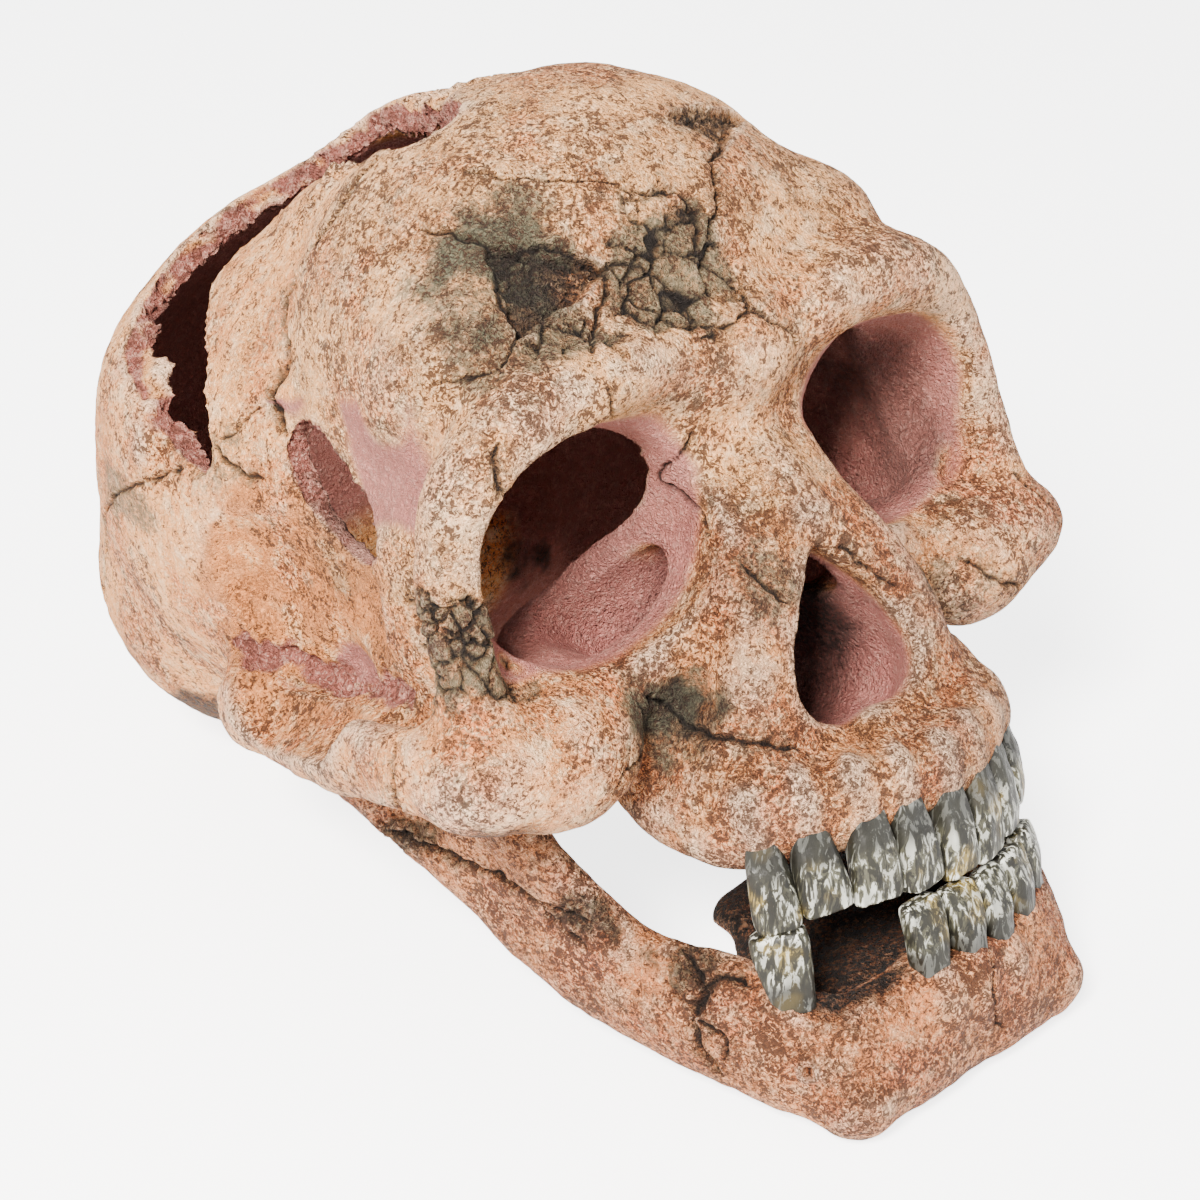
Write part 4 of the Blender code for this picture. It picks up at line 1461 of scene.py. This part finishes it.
@dataclass(frozen=True)
class BonePaint:
    """The paint of a bone-coloured piece."""

    base: Colour
    warm: Colour
    pale: Colour = (0.94, 0.60, 0.33)
    inner: Colour = (0.36, 0.125, 0.11)
    broken: Colour = (0.30, 0.095, 0.07)
    moss: Colour = (0.115, 0.105, 0.062)
    ochre: Colour = (0.62, 0.21, 0.055)
    pit: Colour = (0.052, 0.019, 0.009)
    dark: Colour = (0.009, 0.0055, 0.004)
    cover: float = 0.5
    roughness: float = 0.72

    def material(self, name: str, effects: Effects) -> bpy.types.Material:
        """Mixes the paint.

        Args:
            name: Name of the material.
            effects: The shared groups.

        Returns:
            The material.
        """
        made, w, shader = new_material(name)
        mottle = w.node("Group", node_tree=effects.mottle)
        for socket, colour in (("Base", self.base), ("Warm", self.warm), ("Pale", self.pale)):
            mottle.inputs[socket].default_value = (*colour, 1)
        pitting = w.node("Group", node_tree=effects.pitting)
        pitting.inputs["Cover"].default_value = self.cover
        fine = w.node("Group", node_tree=effects.pitting)
        fine.inputs["Spacing"].default_value = 0.62
        fine.inputs["Cover"].default_value = self.cover - 0.06
        relief = w.node("Group", node_tree=effects.relief)
        relief.inputs["Cover"].default_value = self.cover
        source = w.here()
        proud, deep = relief.outputs["Proud"], relief.outputs["Deep"]
        speckle = w.ramp(w.noise(source, 900.0, 3.0, 0.7), 0.42, 0.6)
        ridge = w.attribute(Mark.RIDGE.value)
        outside = w.math("SUBTRACT", 1.0, w.attribute(Mark.INSIDE.value), True)
        colour = w.mix(w.times(proud, 0.6), mottle.outputs[0], self.pale)
        colour = w.mix(w.times(ridge, 0.6), colour, (0.93, 0.66, 0.45))
        # Painted shade: concave places take the darker warm paint.
        colour = w.mix(w.times(w.attribute(Mark.HOLLOW.value), 0.6), colour, self.warm)
        streaks = w.ramp(w.noise(source, 130.0, 4.0), 0.62, 0.5)
        streaks = w.times(w.attribute(Mark.OCHRE.value), streaks, True)
        colour = w.mix(w.times(streaks, 0.85), colour, self.ochre)
        stain = w.attribute(Mark.STAIN.value)
        moss = w.math("ADD", stain, w.times(w.math("SUBTRACT", speckle, 0.6), 0.5))
        moss = w.times(w.ramp(moss, 0.15, 0.8), stain, True)
        colour = w.mix(moss, colour, self.moss)
        pits = w.math("MAXIMUM", pitting.outputs["Pits"], w.times(fine.outputs["Pits"], 0.8))
        pits = w.math("MAXIMUM", pits, deep)
        pits = w.times(pits, w.times(outside, 0.9))
        colour = w.mix(pits, colour, self.pit)
        inner = w.mix(w.times(proud, 0.35), self.inner, (0.55, 0.27, 0.23))
        colour = w.mix(w.times(w.attribute(Mark.INSIDE.value), 0.93), colour, inner)
        raw = w.mix(w.times(w.math("MAXIMUM", ridge, proud), 0.6), self.broken, (0.62, 0.33, 0.25))
        raw = w.mix(w.times(deep, 0.6), raw, self.pit)
        colour = w.mix(w.attribute(Mark.BROKEN.value), colour, raw)
        # Near black for the painted shade in deep places and for the dark spots.
        soot = w.times(w.attribute(Mark.SOOT.value), w.ramp(speckle, 0.0, 1.0, 1.0, 0.8))
        colour = w.mix(soot, colour, (0.013, 0.0095, 0.008))
        colour = w.mix(w.attribute(Mark.CRACK.value), colour, self.dark)
        w.put(shader.inputs["Base Color"], colour)
        rough = w.ramp(speckle, 0.0, 1.0, self.roughness - 0.12, self.roughness + 0.1)
        w.put(shader.inputs["Roughness"], rough)
        shader.inputs["Specular IOR Level"].default_value = 0.2
        height = w.math("ADD", pitting.outputs["Height"], w.times(fine.outputs["Height"], 0.5))
        coarse = w.times(relief.outputs["Height"], 2.2)
        height = w.math("ADD", w.times(height, 0.5), coarse)
        w.bump(shader, height, 1.0, 0.002)
        return made


@dataclass(frozen=True)
class EnamelPaint:
    """The greenish grey paint of the teeth, dark in the grooves, with painted shade toward the necks and a
    painted gleam on what stands proud.
    """

    base: Colour = (0.022, 0.02, 0.012)
    cloud: Colour = (0.06, 0.057, 0.036)
    gleam: Colour = (0.55, 0.55, 0.48)
    yellow: Colour = (0.26, 0.18, 0.035)
    dark: Colour = (0.004, 0.0035, 0.0025)
    roughness: float = 0.42

    def material(self, name: str) -> bpy.types.Material:
        """Mixes the paint and returns the material."""
        made, w, shader = new_material(name)
        source = w.here()
        streak = w.node("Mapping")
        streak.inputs["Scale"].default_value = (1.0, 1.0, 0.25)
        w.put(streak.inputs["Vector"], source)
        lines = w.noise(streak.outputs[0], 800.0, 4.0, 0.65, 0.6)
        clouds = w.ramp(w.noise(source, 190.0, 3.0), 0.4, 0.65)
        rise = w.attribute("rise")
        ridge = w.attribute(Mark.RIDGE.value)
        colour = w.mix(clouds, self.base, self.cloud)
        yellowed = w.times(w.ramp(w.noise(source, 120.0, 2.0), 0.52, 0.7), 0.7)
        colour = w.mix(yellowed, colour, self.yellow)
        # Painted highlight: the pale gleam on raised streaks, strongest on ridges.
        painted_gleam = w.times(w.math("ADD", ridge, 0.45, True), w.ramp(lines, 0.53, 0.57), True)
        colour = w.mix(painted_gleam, colour, self.gleam)
        # Dark grooves of the streaks, with painted shade toward the necks and in the hollows.
        grooves_and_shade = w.math("MAXIMUM", w.ramp(lines, 0.45, 0.49, 1.0, 0.0), w.ramp(rise, 0.45, 0.68))
        grooves_and_shade = w.math("MAXIMUM", w.times(grooves_and_shade, 0.9), w.attribute(Mark.HOLLOW.value))
        colour = w.mix(w.times(grooves_and_shade, 0.92), colour, self.dark)
        shader.inputs["Specular IOR Level"].default_value = 0.3
        w.put(shader.inputs["Base Color"], colour)
        rough = w.ramp(lines, 0.3, 0.7, self.roughness + 0.15, self.roughness - 0.1)
        w.put(shader.inputs["Roughness"], rough)
        w.bump(shader, lines, 0.6, 0.0004)
        return made


@dataclass
class Studio:
    """A flat, pale floor, soft lamps, and the photograph's viewpoint.

    The viewpoint is given in degrees, millimetres and pixels, the floor and the lamps in metres.
    """

    turn: float = -42.02
    height: float = 29.67
    shift_right: float = 21.68
    shift_up: float = -7.44
    focal_px: float = 2590.53
    distance: float = 512.39
    image_px: float = 1200.0
    sensor_mm: float = 36.0

    def camera(self) -> None:
        """Places the camera at the photograph's viewing angle."""
        a = math.radians(self.turn)
        e = math.radians(self.height)
        right = Vector((math.cos(a), math.sin(a), 0))
        up = Vector((-math.sin(a) * math.sin(e), math.cos(a) * math.sin(e), math.cos(e)))
        back = Vector((math.sin(a) * math.cos(e), -math.cos(a) * math.cos(e), math.sin(e)))
        data = bpy.data.cameras.new("camera")
        data.sensor_width = self.sensor_mm
        data.lens = self.focal_px / self.image_px * self.sensor_mm
        data.clip_start = 0.01
        camera = linked("camera", data)
        axes = Matrix((right, up, back)).transposed().to_4x4()
        eye = back * self.distance + right * self.shift_right + up * self.shift_up
        axes.translation = (eye + Vector((0, BACK_SHIFT, -FLOOR_LEVEL))) * MM
        camera.matrix_world = axes
        bpy.context.scene.camera = camera

    def lamp(self, name: str, place: Point, size: float, power: float, colour: Point) -> None:
        """Adds a soft square lamp that looks at the skull."""
        data = bpy.data.lights.new(name, "AREA")
        data.size = size
        data.energy = power
        data.color = colour
        lamp = linked(name, data)
        aim = Vector((0, 0, 0.07)) - Vector(place)
        facing = aim.to_track_quat("-Z", "Y").to_matrix().to_4x4()
        lamp.matrix_world = Matrix.Translation(Vector(place)) @ facing

    def floor(self) -> None:
        """Lays the pale floor."""
        mesh = bpy.data.meshes.new("floor")
        mesh.from_pydata([(-3, -3, 0), (3, -3, 0), (3, 3, 0), (-3, 3, 0)], [], [(0, 1, 2, 3)])
        floor = linked("floor", mesh)
        material, w, shader = new_material("studio_floor")
        shader.inputs["Base Color"].default_value = (0.93, 0.93, 0.93, 1)
        shader.inputs["Roughness"].default_value = 0.9
        shader.inputs["Emission Color"].default_value = (1, 1, 1, 1)
        seen = w.node("LightPath").outputs["Is Camera Ray"]
        w.put(shader.inputs["Emission Strength"], w.times(seen, 3.4))
        mesh.materials.append(material)

    def build(self) -> None:
        """Builds camera, floor, lamps and the white surround."""
        self.camera()
        self.floor()
        self.lamp("key", (-0.85, -0.5, 0.95), 0.35, 84, (1.0, 0.97, 0.93))
        self.lamp("fill", (0.5, -1.0, 0.35), 0.8, 10, (0.95, 0.97, 1.0))
        self.lamp("rim", (0.1, 0.8, 0.8), 0.6, 6, (1.0, 1.0, 1.0))
        world = bpy.data.worlds.new("surround")
        world.use_nodes = True
        background = world.node_tree.nodes["Background"]
        background.inputs["Color"].default_value = (1, 1, 1, 1)
        background.inputs["Strength"].default_value = 0.6
        bpy.context.scene.world = world


PAINTS = {
    Node.FOREHEAD: BonePaint((0.84, 0.39, 0.145), (0.80, 0.28, 0.095), cover=0.52),
    Node.BACK_OF_HEAD: BonePaint((0.86, 0.36, 0.12), (0.80, 0.26, 0.08), cover=0.42),
    Node.CHEEKBONE_LEFT: BonePaint((0.80, 0.34, 0.125), (0.75, 0.24, 0.095), cover=0.5),
    Node.CHEEKBONE_RIGHT: BonePaint((0.78, 0.30, 0.095), (0.72, 0.21, 0.065), cover=0.5),
    Node.UPPER_JAW: BonePaint((0.66, 0.25, 0.08), (0.56, 0.16, 0.05), (0.88, 0.52, 0.28), cover=0.56),
    Node.LOWER_JAW: BonePaint((0.62, 0.21, 0.07), (0.52, 0.14, 0.05), (0.84, 0.45, 0.24), cover=0.57),
}

UPPER_TEETH = (
    Tooth(-52.5, 8.8, -53.2, -40.5, 0.85, 0.02),
    Tooth(-36.8, 9.8, -52.4, -40.2, 0.55, -0.04),
    Tooth(-21.6, 9.9, -53.6, -41, 0.55, 0.05),
    Tooth(-7.2, 9.5, -54.8, -42.2, 0.5, -0.04),
    Tooth(6.6, 9.1, -56.2, -43.5, 0.5, 0.03),
    Tooth(20.2, 8.9, -56.8, -43.2, 0.5, 0.04),
    Tooth(34, 9.2, -55.8, -42, 0.65, -0.03),
    Tooth(49, 9.4, -53.6, -42, 0.75),
)
LOWER_TEETH = (
    Tooth(-54, 10.6, -53.0, -64, 0.95),
    Tooth(-10, 8.7, -56.2, -67, 0.5, -0.04),
    Tooth(3, 8.6, -57.0, -67.5, 0.5, 0.03),
    Tooth(16.3, 8.7, -58.0, -68.5, 0.5, -0.05),
    Tooth(30.2, 9.1, -58.0, -68, 0.65, 0.04),
    Tooth(44.8, 9.4, -57.0, -67, 0.75),
)


def place(piece: bpy.types.Object, material: bpy.types.Material, *nodes: Node) -> None:
    """Gives a piece its material and makes it stand for its CAD nodes."""
    piece.data.materials.clear()
    piece.data.materials.append(material)
    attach(piece, "root")
    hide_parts(*(node.value for node in nodes))
    log.info("%s stands for %s", piece.name, ", ".join(node.value for node in nodes))


def main() -> None:
    """Builds every piece of the scene in order."""
    logging.basicConfig(level=logging.INFO, format="%(relativeCreated)d %(message)s")
    effects = Effects()
    upper = ToothRow("upper_teeth", UPPER_TEETH)
    lower = ToothRow("lower_teeth", LOWER_TEETH)
    cranium = Cranium(necks=upper.necks())
    jaw = LowerJaw(necks=lower.necks())
    cast = cranium.cast()
    log.info("cranium cast: %d faces", len(cast.data.polygons))
    clearance = moved_skin(cast, "clearance", jaw.seam)
    pieces = dress_cranium(cranium, cast)
    pieces[Node.LOWER_JAW] = jaw.build(clearance)
    for node, piece in pieces.items():
        place(piece, PAINTS[node].material(node.value + "_paint", effects), node)
    enamel = EnamelPaint()
    for row, node in ((upper, Node.UPPER_JAW), (lower, Node.LOWER_JAW)):
        place(row.build(), enamel.material(row.name + "_paint"), node)
    Studio().build()


if __name__ == "__main__":
    main()
